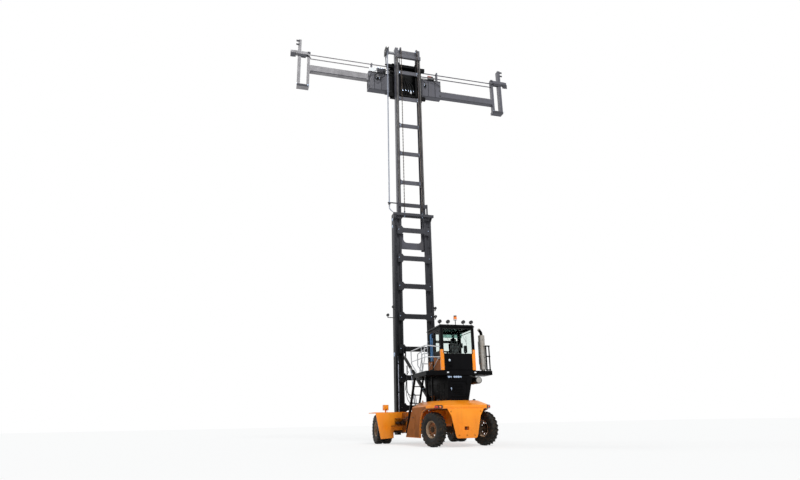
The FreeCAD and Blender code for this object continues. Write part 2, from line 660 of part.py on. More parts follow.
def rear_deck():
    """Deck over the rear wheels with sloped top edges, and the side panels before the wheels."""
    band = prism("deck_band", "z", deck_outline(0), d.deck_bottom, d.deck_lip)
    crown = tapered("deck_crown", deck_outline(0), d.deck_lip, deck_outline(d.deck_slope), d.deck_top)
    solid = fuse("deck_solid", [band, crown])
    inset = d.housing_wall + 10
    bay = box("engine_bay", (-d.housing_right_low + inset, d.housing_left - inset),
              (back(d.deck_front) - 1, back(d.engine_rear + 120)), (d.deck_bottom - 1, d.deck_top + 1))
    slot = box("ear_slot", (d.ear_inside - 10, d.tilt_place - 70),
               (back(d.tilt_foot_y - 180), back(d.tilt_foot_y + 180)),
               (d.deck_bottom - 1, d.deck_top + 1))
    opened = cut("deck_opened", solid, fuse("deck_holes", [bay, slot, mirrored("slot_right", slot)]))
    shape = [
        (back(d.side_front), d.side_bottom), (back(side_rear), d.side_bottom),
        (back(side_rear + 50), d.side_bottom + 450), (back(side_rear + 170), d.side_bottom + 750),
        (back(side_rear + 400), d.side_bottom + 950), (back(arch_top_rear), d.deck_bottom),
        (back(arch_top_rear), d.deck_lip), (back(d.deck_front), d.deck_lip),
    ]
    panel = prism("side_panel", "x", shape, d.deck_half - d.side_plate, d.deck_half)
    web_in = d.rail_inside + d.rail_width
    web = box("side_web", (web_in, d.deck_half - 1), (back(d.deck_front), back(d.deck_front) + 60),
              (d.rail_bottom + 100, d.deck_bottom + 1))
    return fuse("rear_deck_body", [opened, panel, mirrored("side_panel_right", panel),
                                   web, mirrored("side_web_right", web)])


def counterweight():
    """Waisted plate across the rear and the cast core between the steered wheels' sweeps."""
    shape = [
        (-d.weight_foot, d.weight_bottom), (d.weight_foot, d.weight_bottom),
        (d.weight_waist, d.weight_waist_height), (d.weight_half, d.deck_bottom),
        (-d.weight_half, d.deck_bottom), (-d.weight_waist, d.weight_waist_height),
    ]
    rear = back(d.rear_reach)
    plate = prism("weight_plate", "y", shape, rear - d.weight_plate, rear,
                  rounded=((0, 1), d.weight_corner))
    core = box("weight_core", (-d.weight_core_half, d.weight_core_half),
               (rear - d.weight_thick, rear - d.weight_plate + 1), (d.weight_bottom, d.deck_bottom))
    block = fuse("weight_block", [plate, core])
    mouth = box("tow_mouth", (-90, 90), (rear - 150, rear + 1),
                (d.tow_pin_height - 60, d.tow_pin_height + 60))
    bore = rod("tow_bore", "z", d.weight_bottom - 1, d.tow_pin_height + 130, (0, rear - 80),
               d.tow_pin_radius)
    return cut("weight_body", block, fuse("tow_coupling", [mouth, bore]))


sub_part(rear_deck(), "rear_deck")
sub_part(counterweight(), "counterweight")


# ---------------------------------------------------------------- engine

def plan(left, right, front, rear):
    """A rectangle seen from above, from its two sides' distances from the middle."""
    return [(-right, front), (left, front), (left, rear), (-right, rear)]


@functools.cache
def hatch_hinges():
    """Hinges on the hatch's right edge, behind the pedestal's back."""
    rear = back(d.housing_rear)
    line = (-d.hatch_right - d.hatch_gap / 2, rear + d.hinge_knuckle)
    fixed = ((line[0] - 40, line[0]), (rear, rear + d.hinge_knuckle))
    moving = ((line[0], line[0] + 50), (rear, rear + d.hinge_knuckle))
    return hinge_halves("hatch_hinge", line, fixed, moving, (d.hatch_low + 60, d.hatch_high - 200))


def engine_housing():
    """Hollow black pedestal that flares towards the cab platform, with a hatch in its back."""
    wall = d.housing_wall
    front, rear = back(d.housing_front), back(d.housing_rear)
    left, low, high = d.housing_left, d.housing_right_low, d.housing_right_high
    outside = tapered("housing_outside", plan(left, low, front + 150, rear), d.deck_top,
                      plan(left, high, front, rear), d.housing_top)
    inside = tapered("housing_inside",
                     plan(left - wall, low - wall, front + 150 + wall, rear - wall), d.deck_top - 1,
                     plan(left - wall, high - wall, front + wall, rear - wall), d.housing_top - wall)
    hatch = box("hatch_opening", (-d.hatch_right - d.hatch_gap, d.hatch_left + d.hatch_gap),
                (rear - wall - 1, rear + 1),
                (d.hatch_low - d.hatch_gap, d.hatch_high + d.hatch_gap))
    hollow = cut("housing_hollow", outside, fuse("housing_space", [inside, hatch]))
    return fuse("housing_body", [hollow] + hatch_hinges()[0])


def housing_hatch():
    """Service door in the pedestal's back, hinged at its right edge."""
    rear = back(d.housing_rear)
    leaf = box("hatch_leaf", (-d.hatch_right, d.hatch_left), (rear - d.housing_wall, rear),
               (d.hatch_low, d.hatch_high))
    return fuse("hatch_body", [leaf] + hatch_hinges()[1])


def engine_block():
    """The diesel engine as one plain block on its bearer."""
    return box("engine_mass", (-d.engine_right, d.engine_left),
               (back(d.engine_front), back(d.engine_rear)), (d.rail_top, d.engine_top))


sub_part(engine_housing(), "engine_housing")
sub_part(housing_hatch(), "housing_hatch")
sub_part(engine_block(), "engine_block")


# ---------------------------------------------------------------- cab platform, ladder and rails

def cab_platform():
    """Deck plate round the cab, with its walkway in front, on the pedestal and two left props."""
    rear = back(d.platform_rear)
    shape = [
        (-d.cab_half - 90, back(d.platform_right_front)), (-d.cab_half + 70, back(d.platform_front)),
        (d.platform_step, back(d.platform_front)), (d.platform_step, back(d.platform_left_front)),
        (d.platform_left, back(d.platform_left_front)), (d.platform_left, rear - 110),
        (d.cab_half + 90, rear), (-d.platform_right, rear), (-d.platform_right, back(d.platform_bay)),
        (-d.cab_half - 90, back(d.platform_bay)),
    ]
    plate = prism("platform_plate", "z", shape, d.housing_top, cab_floor)
    prop_in = d.tilt_place + 190
    props = [box(f"prop_{name}", (prop_in, prop_in + 70), (back(place), back(place) + 70),
                 (d.deck_top, d.housing_top))
             for name, place in (("front", d.platform_left_front + 220), ("rear", d.platform_rear - 700))]
    return fuse("platform_body", [plate] + props)


def ladder():
    """Two stringers with treads, leaning from the side panel's foot up to the platform's left part."""
    depth = d.stringer_depth
    top_y = back(d.platform_left_front) - depth
    foot_y = top_y - d.ladder_lean
    pieces = []
    for name, place in (("left", d.ladder_left), ("right", d.ladder_right)):
        shape = [
            (foot_y, d.ladder_foot), (foot_y + depth, d.ladder_foot), (top_y + depth, cab_floor),
            (top_y, cab_floor),
        ]
        pieces.append(prism(f"stringer_{name}", "x", shape, place, place + d.stringer_thick))
    treads = 7
    for index in range(treads):
        share = (index + 0.5) / treads
        place = foot_y + d.ladder_lean * share
        level = d.ladder_foot + (cab_floor - d.ladder_foot) * share
        pieces.append(box(f"tread_{index}", (d.ladder_right, d.ladder_left + d.stringer_thick),
                          (place - 50, place + depth), (level, level + 30)))
    return fuse("ladder_body", pieces)


def handrails():
    """Grey tubes along the platform's left edge and round its walkway in front of the cab."""
    tube, thin = d.rail_tube, d.rail_tube * 0.8
    top = cab_floor + d.rail_height
    middle = cab_floor + d.rail_height * 0.54
    left = d.platform_left - tube
    step = d.platform_step - tube
    wall = d.cab_half
    foot, lean = cab_floor + 90, cab_floor + d.rail_height * 0.36
    start, end = back(d.platform_left_front) + 150, back(d.platform_rear) - 140
    fore = start - 640
    front = back(d.platform_front) + 40
    right = -d.cab_half + 260
    pillar = back(d.cab_front) + 60
    pieces = [
        pipe("rail_side", [(left, start, cab_floor), (left, start, foot), (left, start - 580, lean + 90),
                           (left, fore, top), (left, end, top), (wall + 150, end + 30, top - 40),
                           (wall, end + 30, top - 40)], tube, 70),
        pipe("rail_side_mid", [(left, fore + 42, middle), (left, end, middle),
                               (wall + 150, end + 30, middle), (wall, end + 30, middle)], thin, 70),
        pipe("rail_step", [(step, front + 620, cab_floor), (step, front + 620, foot),
                           (step, front + 20, lean + 90), (step, front + 40, top - 40),
                           (step, pillar, top + 60), (wall, pillar, top + 60)], tube, 60),
        pipe("rail_front_loop", [(right, front, cab_floor), (right, front, top), (step - 200, front, top),
                                 (step - 200, front, cab_floor)], tube, 120),
        rod("rail_front_mid", "x", right, step - 200, (front, middle), thin),
        rod("rail_front_post", "z", cab_floor, top, ((right + step - 200) / 2, front), thin),
    ]
    for index, (place, knee) in enumerate(((start + 500, start + 760), (start + 860, start + 1140))):
        spots = [(left, place, cab_floor), (left, place, foot), (left, knee, lean + 150),
                 (left, knee, top)]
        pieces.append(pipe(f"rail_post_{index}", spots, thin, 70))
    return fuse("handrail_body", pieces)


sub_part(cab_platform(), "cab_platform")
sub_part(ladder(), "ladder")
sub_part(handrails(), "handrails")


# ---------------------------------------------------------------- cab

@functools.cache
def door_hinges():
    """Hinges on the door's rear edge, outside the cab wall."""
    line = (d.cab_half + d.hinge_knuckle, back(d.door_rear) + d.door_gap / 2)
    fixed = ((d.cab_half, d.cab_half + d.hinge_knuckle), (line[1], line[1] + 60))
    moving = ((d.cab_half, d.cab_half + d.hinge_knuckle), (line[1] - 60, line[1]))
    return hinge_halves("door_hinge", line, fixed, moving, (d.door_bottom + 120, d.window_top - 260))


def cab_frame():
    """Hollow cab with its windows and the door opening cut out."""
    wall = d.cab_wall
    front, rear = back(d.cab_front), back(d.cab_rear)
    margin = d.window_margin
    shell = box("cab_outside", (-d.cab_half, d.cab_half), (front, rear), (cab_floor, d.cab_top))
    holes = [
        box("cab_space", (-d.cab_half + wall, d.cab_half - wall), (front + wall, rear - wall),
            (cab_floor + wall, d.cab_top + 1)),
        box("rear_window", (-d.cab_half + margin, d.cab_half - margin), (rear - wall - 1, rear + 1),
            (d.sill, d.window_top)),
        box("windscreen", (-d.cab_half + margin, d.cab_half - margin), (front - 1, front + wall + 1),
            (d.windscreen_sill, d.window_top)),
        box("right_window", (-d.cab_half - 1, -d.cab_half + wall + 1), (front + margin, rear - margin),
            (d.sill, d.window_top)),
        box("left_window", (d.cab_half - wall - 1, d.cab_half + 1),
            (back(d.side_window_front), back(d.side_window_rear)), (d.side_window_sill, d.side_window_top)),
        box("door_opening", (d.cab_half - wall - 1, d.cab_half + 1),
            (back(d.door_front) - d.door_gap, back(d.door_rear) + d.door_gap),
            (d.door_bottom - d.door_gap, d.window_top + d.door_gap)),
    ]
    opened = cut("cab_shell", shell, fuse("cab_openings", holes))
    return fuse("cab_body", [opened] + door_hinges()[0])


def cab_roof():
    """Roof panel with a raised hatch, overhanging the walls."""
    over = d.roof_overhang
    front, rear = back(d.cab_front) - over * 2, back(d.cab_rear) + over
    half = d.cab_half + over
    low = plan(half, half, front, rear)
    high = plan(half - 60, half - 60, front + 90, rear - 60)
    panel = tapered("roof_panel", low, d.cab_top, high, d.cab_top + d.roof_thick)
    hatch = box("roof_hatch", (-d.cab_half / 2, d.cab_half / 2), (front + 350, rear - 450),
                (d.cab_top + d.roof_thick - 1, d.cab_top + d.roof_thick + 40))
    return fuse("roof_body", [panel, hatch])


def cab_glass():
    """Windscreen, rear, right and left panes, seated in the middle of their openings."""
    front, rear = back(d.cab_front), back(d.cab_rear)
    margin = d.window_margin
    inset = (d.cab_wall - d.glass_thick) / 2
    pane = d.glass_thick
    return group("glass_body", [
        box("rear_pane", (-d.cab_half + margin, d.cab_half - margin),
            (rear - inset - pane, rear - inset), (d.sill, d.window_top)),
        box("front_pane", (-d.cab_half + margin, d.cab_half - margin),
            (front + inset, front + inset + pane), (d.windscreen_sill, d.window_top)),
        box("right_pane", (-d.cab_half + inset, -d.cab_half + inset + pane),
            (front + margin, rear - margin), (d.sill, d.window_top)),
        box("left_pane", (d.cab_half - inset - pane, d.cab_half - inset),
            (back(d.side_window_front), back(d.side_window_rear)), (d.side_window_sill, d.side_window_top)),
    ])


def cab_door():
    """Left door: steel lower panel and a frame round its window."""
    leaf = box("door_leaf", (d.cab_half - d.cab_wall, d.cab_half),
               (back(d.door_front), back(d.door_rear)), (d.door_bottom, d.window_top))
    window = box("door_window", (d.cab_half - d.cab_wall - 1, d.cab_half + 1),
                 (back(d.door_front) + d.door_frame, back(d.door_rear) - d.door_frame),
                 (d.door_sill, d.window_top - d.door_frame))
    return fuse("door_body", [cut("door_panel", leaf, window)] + door_hinges()[1])


def door_glass():
    inset = (d.cab_wall - d.glass_thick) / 2
    return box("door_pane", (d.cab_half - inset - d.glass_thick, d.cab_half - inset),
               (back(d.door_front) + d.door_frame, back(d.door_rear) - d.door_frame),
               (d.door_sill, d.window_top - d.door_frame))


def operator_seat():
    """Seat on its pedestal, facing the mast."""
    floor = cab_floor + d.cab_wall
    middle = back(d.seat_y)
    top = floor + d.seat_height
    return fuse("seat_body", [
        box("seat_base", (-180, 180), (middle - 200, middle + 200), (floor, top - 129)),
        box("seat_cushion", (-250, 250), (middle - 270, middle + 250), (top - 130, top)),
        box("seat_back", (-240, 240), (middle + 160, middle + 290), (top - 1, top + d.seat_back_height)),
        box("head_rest", (-130, 130), (middle + 190, middle + 280),
            (top + d.seat_back_height - 1, top + d.seat_back_height + 180)),
    ])


def steering_console():
    """Column with the steering wheel, and the dash before the windscreen."""
    floor = cab_floor + d.cab_wall
    front = back(d.cab_front) + d.cab_wall
    column = strut("column", (0, front + 143, floor + 12), (0, front + 300, floor + 760), 38)
    boot = box("column_boot", (-70, 70), (front + 85, front + 205), (floor, floor + 60))
    ring = document.addObject("Part::Torus", "steering_ring")
    bind(ring, "Radius1", d.wheel_ring_radius)
    ring.Radius2 = 16
    put(ring, (0, front + 305, floor + 775), Rotation(Vector(1, 0, 0), -12))
    spoke = box("spoke", (-d.wheel_ring_radius, d.wheel_ring_radius), (front + 285, front + 325),
                (floor + 755, floor + 780))
    dash = box("dash", (-d.cab_half + d.cab_wall + 40, -d.cab_half + 330), (front + 20, front + 230),
               (floor, floor + 620))
    foot = box("dash_foot", (-d.cab_half + 329, 60), (front + 60, front + 220), (floor, floor + 90))
    return fuse("console_body", [column, boot, ring, spoke, dash, foot])


sub_part(cab_frame(), "cab_frame")
sub_part(cab_roof(), "cab_roof")
sub_part(cab_glass(), "cab_glass")
sub_part(cab_door(), "cab_door")
sub_part(door_glass(), "door_glass")
sub_part(operator_seat(), "operator_seat")
sub_part(steering_console(), "steering_console")


# ---------------------------------------------------------------- exhaust, intake and lamps

def exhaust():
    """Upright silencer with its elbow, and the guard of two posts on its outer side."""
    place = (-d.silencer_place, back(d.silencer_depth))
    can = rod("silencer_can", "z", cab_floor + 60, d.silencer_top, place, d.silencer_radius)
    foot = rod("silencer_foot", "z", cab_floor, cab_floor + 61, place, d.silencer_radius * 0.6)
    elbow = pipe("outlet", [(*place, d.silencer_top - 1), (*place, d.silencer_top + 110),
                            (place[0] + 130, place[1] + 60, d.silencer_top + d.outlet_rise)],
                 d.outlet_radius, 80)
    near, far = place[0] - d.guard_near, place[0] - d.guard_far
    guard_y = place[1] + d.silencer_radius + 25
    posts = [rod(f"guard_post_{index}", "z", cab_floor, cab_floor + d.guard_height, (spot, guard_y),
                 d.guard_radius)
             for index, spot in enumerate((near, far))]
    clamps = [box(f"guard_clamp_{index}", (far - 20, place[0]), (guard_y - 12, guard_y + 12),
                  (cab_floor + level, cab_floor + level + 30))
              for index, level in enumerate((d.guard_height * 0.55, d.guard_height - 30))]
    straps = [box(f"guard_strap_{index}", (near - 20, near + 20), (place[1], guard_y),
                  (cab_floor + level, cab_floor + level + 30))
              for index, level in enumerate((d.guard_height * 0.55, d.guard_height - 30))]
    return fuse("exhaust_body", [can, foot, elbow] + posts + clamps + straps)


def air_cleaner():
    """Horizontal canister slung under the platform's right side."""
    rear = back(d.cab_rear) - 10
    front = rear - d.cleaner_length
    height = d.housing_top - d.cleaner_drop
    can = rod("cleaner_can", "y", front, rear, (-d.cleaner_place, height), d.cleaner_radius)
    strap = box("cleaner_strap", (-d.cleaner_place - 60, -d.cleaner_place + 60), (front + 170, front + 230),
                (height + d.cleaner_radius / 2, d.housing_top))
    return fuse("cleaner_body", [can, strap])


def work_lamps():
    """Four lamps on stalks along the roof's rear edge and the beacon between them."""
    top = d.cab_top + d.roof_thick
    rear = back(d.cab_rear) - 130
    pieces = []
    for index, place in enumerate((-660, -330, 310, 650)):
        stalk = rod(f"lamp_stalk_{index}", "z", top, top + 71, (place, rear), 14)
        head = rod(f"lamp_head_{index}", "y", rear - 55, rear + 55, (place, top + 128), 62)
        pieces.append(fuse(f"lamp_{index}", [stalk, head]))
    stalk = rod("beacon_stalk", "z", top, top + 201, (0, rear), 16)
    dome = rod("beacon_dome", "z", top + 200, top + 370, (0, rear), 62)
    pieces.append(fuse("beacon", [stalk, dome]))
    return group("roof_lamps", pieces)


sub_part(exhaust(), "exhaust_silencer")
sub_part(air_cleaner(), "air_cleaner")
sub_part(work_lamps(), "work_lamps")


# ---------------------------------------------------------------- outer mast

outer_beams = (d.beam_level_1, d.beam_level_2, d.beam_level_3, d.beam_level_4, d.beam_level_5,
               d.beam_level_6, d.beam_level_7)
mast_rear = back(d.mast_rear)
mast_front = mast_rear - d.mast_depth
mast_outside = d.mast_inside + d.mast_width


def channel(name, inside, outside, front, rear, low, high, flange, web):
    """An upright rolled as a channel that opens towards the machine's middle."""
    shape = [
        (inside, front), (outside, front), (outside, rear), (inside, rear), (inside, rear - flange),
        (outside - web, rear - flange), (outside - web, front + flange), (inside, front + flange),
    ]
    return prism(name, "z", shape, low, high)


def outer_uprights():
    """The two fixed channels, bored at the foot for the hanger pins."""
    blank = channel("outer_channel", d.mast_inside, mast_outside, mast_front, mast_rear,
                    d.mast_foot, d.mast_top, d.mast_flange, d.mast_web)
    bore = rod("foot_bore", "x", mast_outside - d.mast_web - 1, mast_outside + 1,
               (back(d.mast_pivot_y), d.mast_pivot_height), d.mast_pin_radius + d.pin_fit)
    return both_sides("outer_channels", cut("outer_channel_bored", blank, bore))


def crossbeam(name, half, opening, front, rear, low, high, rounding):
    """A cross beam whose ends spread into gussets with a rounded corner above and below."""
    spread = rounding * 0.85
    blank = box(f"{name}_blank", (-half, half), (front, rear), (low - spread, high + spread))
    spaces = [
        prism(f"{name}_above", "y", [(-opening, high), (opening, high), (opening, high + rounding * 3),
                                     (-opening, high + rounding * 3)], front - 1, rear + 1,
              rounded=((0, 1), rounding)),
        prism(f"{name}_below", "y", [(-opening, low - rounding * 3), (opening, low - rounding * 3),
                                     (opening, low), (-opening, low)], front - 1, rear + 1,
              rounded=((2, 3), rounding)),
    ]
    return cut(name, blank, fuse(f"{name}_spaces", spaces))


beam_front = back(d.lift_y) + d.barrel_radius + d.beam_gap
beam_rear = beam_front + d.beam_depth


def outer_crossbeams():
    """Cross beams behind the lift cylinders, with gussets and seats on both uprights."""
    beams = []
    opening = d.lift_place - d.barrel_radius
    for index, level in enumerate(outer_beams + (d.mast_top - d.beam_height / 2,)):
        low, high = level - d.beam_height / 2, level + d.beam_height / 2
        rounding = d.beam_rounding
        beam = crossbeam(f"outer_beam_{index}", d.beam_half, opening, beam_front, beam_rear, low, high,
                         rounding)
        seats = [box(f"beam_seat_{index}_{name}", xs, (mast_rear, beam_front + 1), (low, high))
                 for name, xs in (("left", (d.mast_inside, d.beam_half)),
                                  ("right", (-d.beam_half, -d.mast_inside)))]
        piece = fuse(f"outer_cross_{index}", [beam] + seats)
        if index == len(outer_beams):
            piece = cut("outer_cross_top", piece, box("head_trim", (-d.beam_half - 1, d.beam_half + 1),
                                                      (mast_rear - 1, beam_rear + 1),
                                                      (d.mast_top, d.mast_top + rounding + 1)))
        beams.append(piece)
    return group("outer_beams", beams)


def lift_barrels():
    """Lift cylinder barrels between the inner mast and the cross beams, open at the top."""
    place = (d.lift_place, back(d.lift_y))
    barrel = rod("barrel_tube", "z", d.barrel_foot, barrel_top, place, d.barrel_radius)
    bore = rod("barrel_space", "z", d.barrel_foot + 120, barrel_top + 1, place,
               d.rod_radius + d.pin_fit)
    tube = cut("barrel_bored", barrel, bore)
    foot = box("barrel_seat", (d.lift_place, mast_outside - 10), (mast_rear, mast_rear + 70),
               (d.barrel_foot, d.barrel_foot + 100))
    return both_sides("barrels", fuse("barrel_left", [tube, foot]))


def mast_fittings():
    """Chain anchor beam with its brackets, the tie across the barrels' tops and the hose bracket."""
    half_depth = d.anchor_bar_depth / 2
    low, high = anchor_height - d.anchor_bar_height / 2, anchor_height + d.anchor_bar_height / 2
    bar = box("anchor_bar", (-d.anchor_bar_half, d.anchor_bar_half),
              (chain_rear_y - half_depth, chain_rear_y + half_depth), (low, high))
    arms = [box(f"anchor_arm_{index}", (place - 20, place + 20), (beam_rear, chain_rear_y), (low - 60, high))
            for index, place in enumerate((-620, -320, 320, 620))]
    shape = [(mast_rear, low - 170), (chain_rear_y, low), (chain_rear_y, high), (mast_rear, high)]
    end = prism("anchor_end_left", "x", shape, mast_outside - 30, mast_outside)
    anchor = fuse("anchors", [bar, end, mirrored("anchor_end_right", end)] + arms)
    tie_front = back(d.lift_y) + d.barrel_radius + d.pin_fit
    tie = box("barrel_tie", (-d.tie_half, d.tie_half), (tie_front, tie_front + 50),
              (barrel_top - d.tie_height, barrel_top))
    stand = box("tie_stand_left", (d.tie_half - 60, d.tie_half), (beam_front + 5, beam_rear - 20),
                (d.mast_top, barrel_top))
    reach = box("hose_reach", (d.tie_half - 60, d.hose_place + 120), (tie_front + 5, tie_front + 45),
                (barrel_top - 60, barrel_top - 10))
    saddle_y = back(d.hose_y) + d.hose_wheel_radius
    saddle = box("hose_saddle", (d.hose_place - 40, d.hose_place + 40), (saddle_y - 40, tie_front + 20),
                 (barrel_top - 60, barrel_top - 10))
    return group("fittings", [anchor, fuse("hose_bracket", [tie, reach, saddle, stand,
                                                           mirrored("tie_stand_right", stand)])])


def mast_lamps():
    """Working lamps on brackets at the sides of the outer uprights."""
    middle = mast_rear - 30
    pieces = []
    low, high = d.mast_lamp_low, d.mast_lamp_high
    arm, stub = d.mast_lamp_arm, d.mast_lamp_stub
    for name, side, reach, level in (("left_arm", 1, arm, low), ("left_high", 1, stub, high),
                                     ("right_high", -1, stub, high), ("right_low", -1, stub, low)):
        tip = mast_outside + reach
        spot = (tip - 15) * side
        ends = (mast_outside, tip) if side > 0 else (-tip, -mast_outside)
        bracket = box(f"lamp_bracket_{name}", ends, (middle - 25, middle + 25), (level - 15, level + 15))
        stem = rod(f"lamp_stem_{name}", "z", level, level + d.mast_lamp_stem, (spot, middle), 14)
        head = rod(f"mast_lamp_{name}", "y", middle - d.mast_lamp_depth, middle + d.mast_lamp_depth,
                   (spot, level + d.mast_lamp_rise), d.mast_lamp_radius)
        pieces.append(fuse(f"mast_lamp_set_{name}", [bracket, stem, head]))
    return group("mast_lamp_sets", pieces)


sub_part(outer_uprights(), "outer_uprights")
sub_part(outer_crossbeams(), "outer_crossbeams")
sub_part(lift_barrels(), "lift_barrels")
sub_part(mast_fittings(), "mast_fittings")
sub_part(mast_lamps(), "mast_lamps")


# ---------------------------------------------------------------- inner mast

inner_rear = back(d.inner_rear)
inner_front = inner_rear - d.inner_depth
inner_outside = d.inner_inside + d.inner_width


def inner_uprights():
    """The two moving channels with their foot rollers in the outer channels."""
    upright = channel("inner_channel", d.inner_inside, inner_outside, inner_front, inner_rear,
                      d.inner_foot, d.inner_top, d.inner_flange, d.inner_web)
    middle = (mast_rear + mast_front) / 2
    radius = d.mast_depth / 2 - d.mast_flange - d.pin_fit
    rollers = []
    for index, level in enumerate((length(190), d.roller_spread + 190)):
        spot = (middle, d.inner_foot + level)
        rollers.append(rod(f"foot_roller_{index}", "x", d.mast_inside + 10,
                           mast_outside - d.mast_web - 8, spot, radius))
        rollers.append(rod(f"foot_shaft_{index}", "x", inner_outside - 1, d.mast_inside + 11, spot,
                           d.roller_shaft))
    return both_sides("inner_channels", fuse("inner_left", [upright] + rollers))


def inner_crossbeams():
    """Cross beams between the inner uprights, the foot plate and the front beam at the head."""
    front = inner_rear - d.inner_beam_depth
    half = d.inner_inside
    beams = []
    for index in range(int(d.inner_beam_count.value)):
        low = d.inner_top - d.inner_beam_drop - d.inner_beam_pitch * index - d.inner_beam_height / 2
        beams.append(crossbeam(f"inner_beam_{index}", half, half, front, inner_rear, low,
                               low + d.inner_beam_height, d.inner_rounding))
    foot = d.inner_foot
    plate = box("foot_plate", (-half, half), (front, inner_rear), (foot, foot + d.foot_plate_height))
    edge, bottom, above = half - 82, foot + 340, foot + d.foot_plate_height + 300
    notch = prism("foot_notch", "y", [(-edge, bottom), (edge, bottom), (edge, above), (-edge, above)],
                  front - 1, inner_rear + 1, rounded=((0, 1), d.foot_rounding))
    beams.append(cut("foot_yoke", plate, notch))
    beams.append(box("head_beam", (-half, half), (inner_front, inner_front + 120),
                     (d.inner_top - d.head_beam_height, d.inner_top)))
    return group("inner_beam_set", beams)


def mast_head():
    """Crosshead that the lift rods push, with the chain sheaves and the hose wheel on it."""
    low = crosshead_bottom
    high = low + d.crosshead_height
    middle = back(d.lift_y)
    beam = box("crosshead", (-d.lift_place - 70, d.lift_place + 70), (inner_rear, middle + 60), (low, high))
    sheave_y = back(d.sheave_y)
    half = d.sheave_width / 2
    wheel = rod("sheave", "x", d.sheave_place - half, d.sheave_place + half, (sheave_y, axle_height),
                d.sheave_radius - d.chain_thick / 2 - d.pin_fit)
    axle = rod("sheave_shaft", "x", d.sheave_place - half - 45, d.sheave_place + half + 45,
               (sheave_y, axle_height), d.sheave_axle)
    cheeks = [box(f"cheek_{name}", xs, (sheave_y - 60, sheave_y + 20), (high - 1, axle_height + 60))
              for name, xs in (
                  ("in", (d.sheave_place - half - 40, d.sheave_place - half - 12)),
                  ("out", (d.sheave_place + half + 12, d.sheave_place + half + 40)))]
    sheave = fuse("sheave_left", [wheel, axle] + cheeks)
    arm = box("hose_arm", (d.lift_place + 69, d.hose_place - 35), (middle - 30, middle + 30),
              (high - 70, high - 10))
    hose_y = back(d.hose_y)
    arm_drop = box("hose_arm_end", (d.hose_place - 65, d.hose_place - 35), (hose_y - 40, middle + 30),
                   (high - 70, axle_height + 60))
    wheel_hose = rod("hose_wheel", "x", d.hose_place - 36, d.hose_place + 40, (hose_y, axle_height),
                     d.hose_wheel_radius - d.hose_radius - d.pin_fit)
    return fuse("head_body", [beam, sheave, mirrored("sheave_right", sheave), arm, arm_drop, wheel_hose])


def lift_rods():
    """Polished rods from inside the barrels up to the crosshead."""
    piston = rod("lift_rod", "z", barrel_top - d.lift_rod_sunk, crosshead_bottom,
                 (d.lift_place, back(d.lift_y)), d.rod_radius)
    return both_sides("rods", piston)


def chain_strip(name, y, low, high):
    half = d.chain_width / 2
    return box(name, (d.sheave_place - half, d.sheave_place + half),
               (y - d.chain_thick / 2, y + d.chain_thick / 2), (low, high))


def rear_chains():
    """Lift chains' rear falls, from the anchor bar up to the sheaves."""
    low = anchor_height + d.anchor_bar_height / 2 + d.pin_fit
    return both_sides("rear_chain_pair", chain_strip("rear_chain", chain_rear_y, low, axle_height))


def front_chains():
    """Lift chains' front falls, from the sheaves down to the carriage."""
    return both_sides("front_chain_pair",
                      chain_strip("front_chain", chain_front_y, carriage_top + d.pin_fit, axle_height))


def hose_fall():
    """Hose pair from the bracket on the barrels' tie up to the hose wheel."""
    rear_y = back(d.hose_y) + d.hose_wheel_radius
    return group("hose_pair", [
        rod(f"hose_{index}", "z", barrel_top - 10 + d.pin_fit, axle_height, (d.hose_place + shift, rear_y),
            d.hose_radius)
        for index, shift in enumerate((-18, 18))])


sub_part(inner_uprights(), "inner_uprights")
sub_part(inner_crossbeams(), "inner_crossbeams")
sub_part(mast_head(), "mast_head")
sub_part(lift_rods(), "lift_rods")
sub_part(rear_chains(), "lift_chains")
sub_part(front_chains(), "carriage_chains")
sub_part(hose_fall(), "hose_fall")


# ---------------------------------------------------------------- tilt cylinders

def tilt_points():
    eye = (d.tilt_place, back(d.tilt_mast_y), d.tilt_mast_height)
    foot = (d.tilt_place, back(d.tilt_foot_y), d.tilt_foot_height)
    return foot, eye


def along(start, end, distance):
    """A point at a distance from start towards end."""
    a = [length(value).value for value in start]
    b = [length(value).value for value in end]
    span = math.dist(a, b)
    return tuple(p + (q - p) * distance / span for p, q in zip(a, b))


def tilt_barrels():
    foot, eye = tilt_points()
    mouth = along(eye, foot, d.tilt_rod_out.value)
    barrel = strut("tilt_tube", along(foot, eye, 60), mouth, d.tilt_barrel_radius)
    bore = strut("tilt_space", along(foot, eye, 160), along(mouth, eye, 1), d.tilt_rod_radius + d.pin_fit)
    knob = rod("tilt_knuckle", "x", d.tilt_place - tilt_knuckle_half, d.tilt_place + tilt_knuckle_half,
               (foot[1], foot[2]), d.tilt_knuckle_radius)
    hole = rod("tilt_hole", "x", d.tilt_place - tilt_knuckle_half - 1, d.tilt_place + tilt_knuckle_half + 1,
               (foot[1], foot[2]), d.tilt_pin_radius + d.pin_fit)
    return both_sides("tilt_barrel_pair",
                      cut("tilt_barrel_left", fuse("tilt_barrel_blank", [barrel, knob]),
                          fuse("tilt_barrel_holes", [bore, hole])))


def tilt_rods():
    foot, eye = tilt_points()
    inner_end = along(eye, foot, (d.tilt_rod_out + d.tilt_rod_sunk).value)
    shaft = strut("tilt_shaft", inner_end, along(eye, foot, 40), d.tilt_rod_radius)
    knob = rod("tilt_eye", "x", d.tilt_place - 40, d.tilt_place + 40, (eye[1], eye[2]), 70)
    hole = rod("tilt_eye_hole", "x", d.tilt_place - 41, d.tilt_place + 41, (eye[1], eye[2]),
               d.tilt_eye_pin_radius + 3)
    return both_sides("tilt_rod_pair",
                      cut("tilt_rod_left", fuse("tilt_rod_blank", [shaft, knob]), hole))


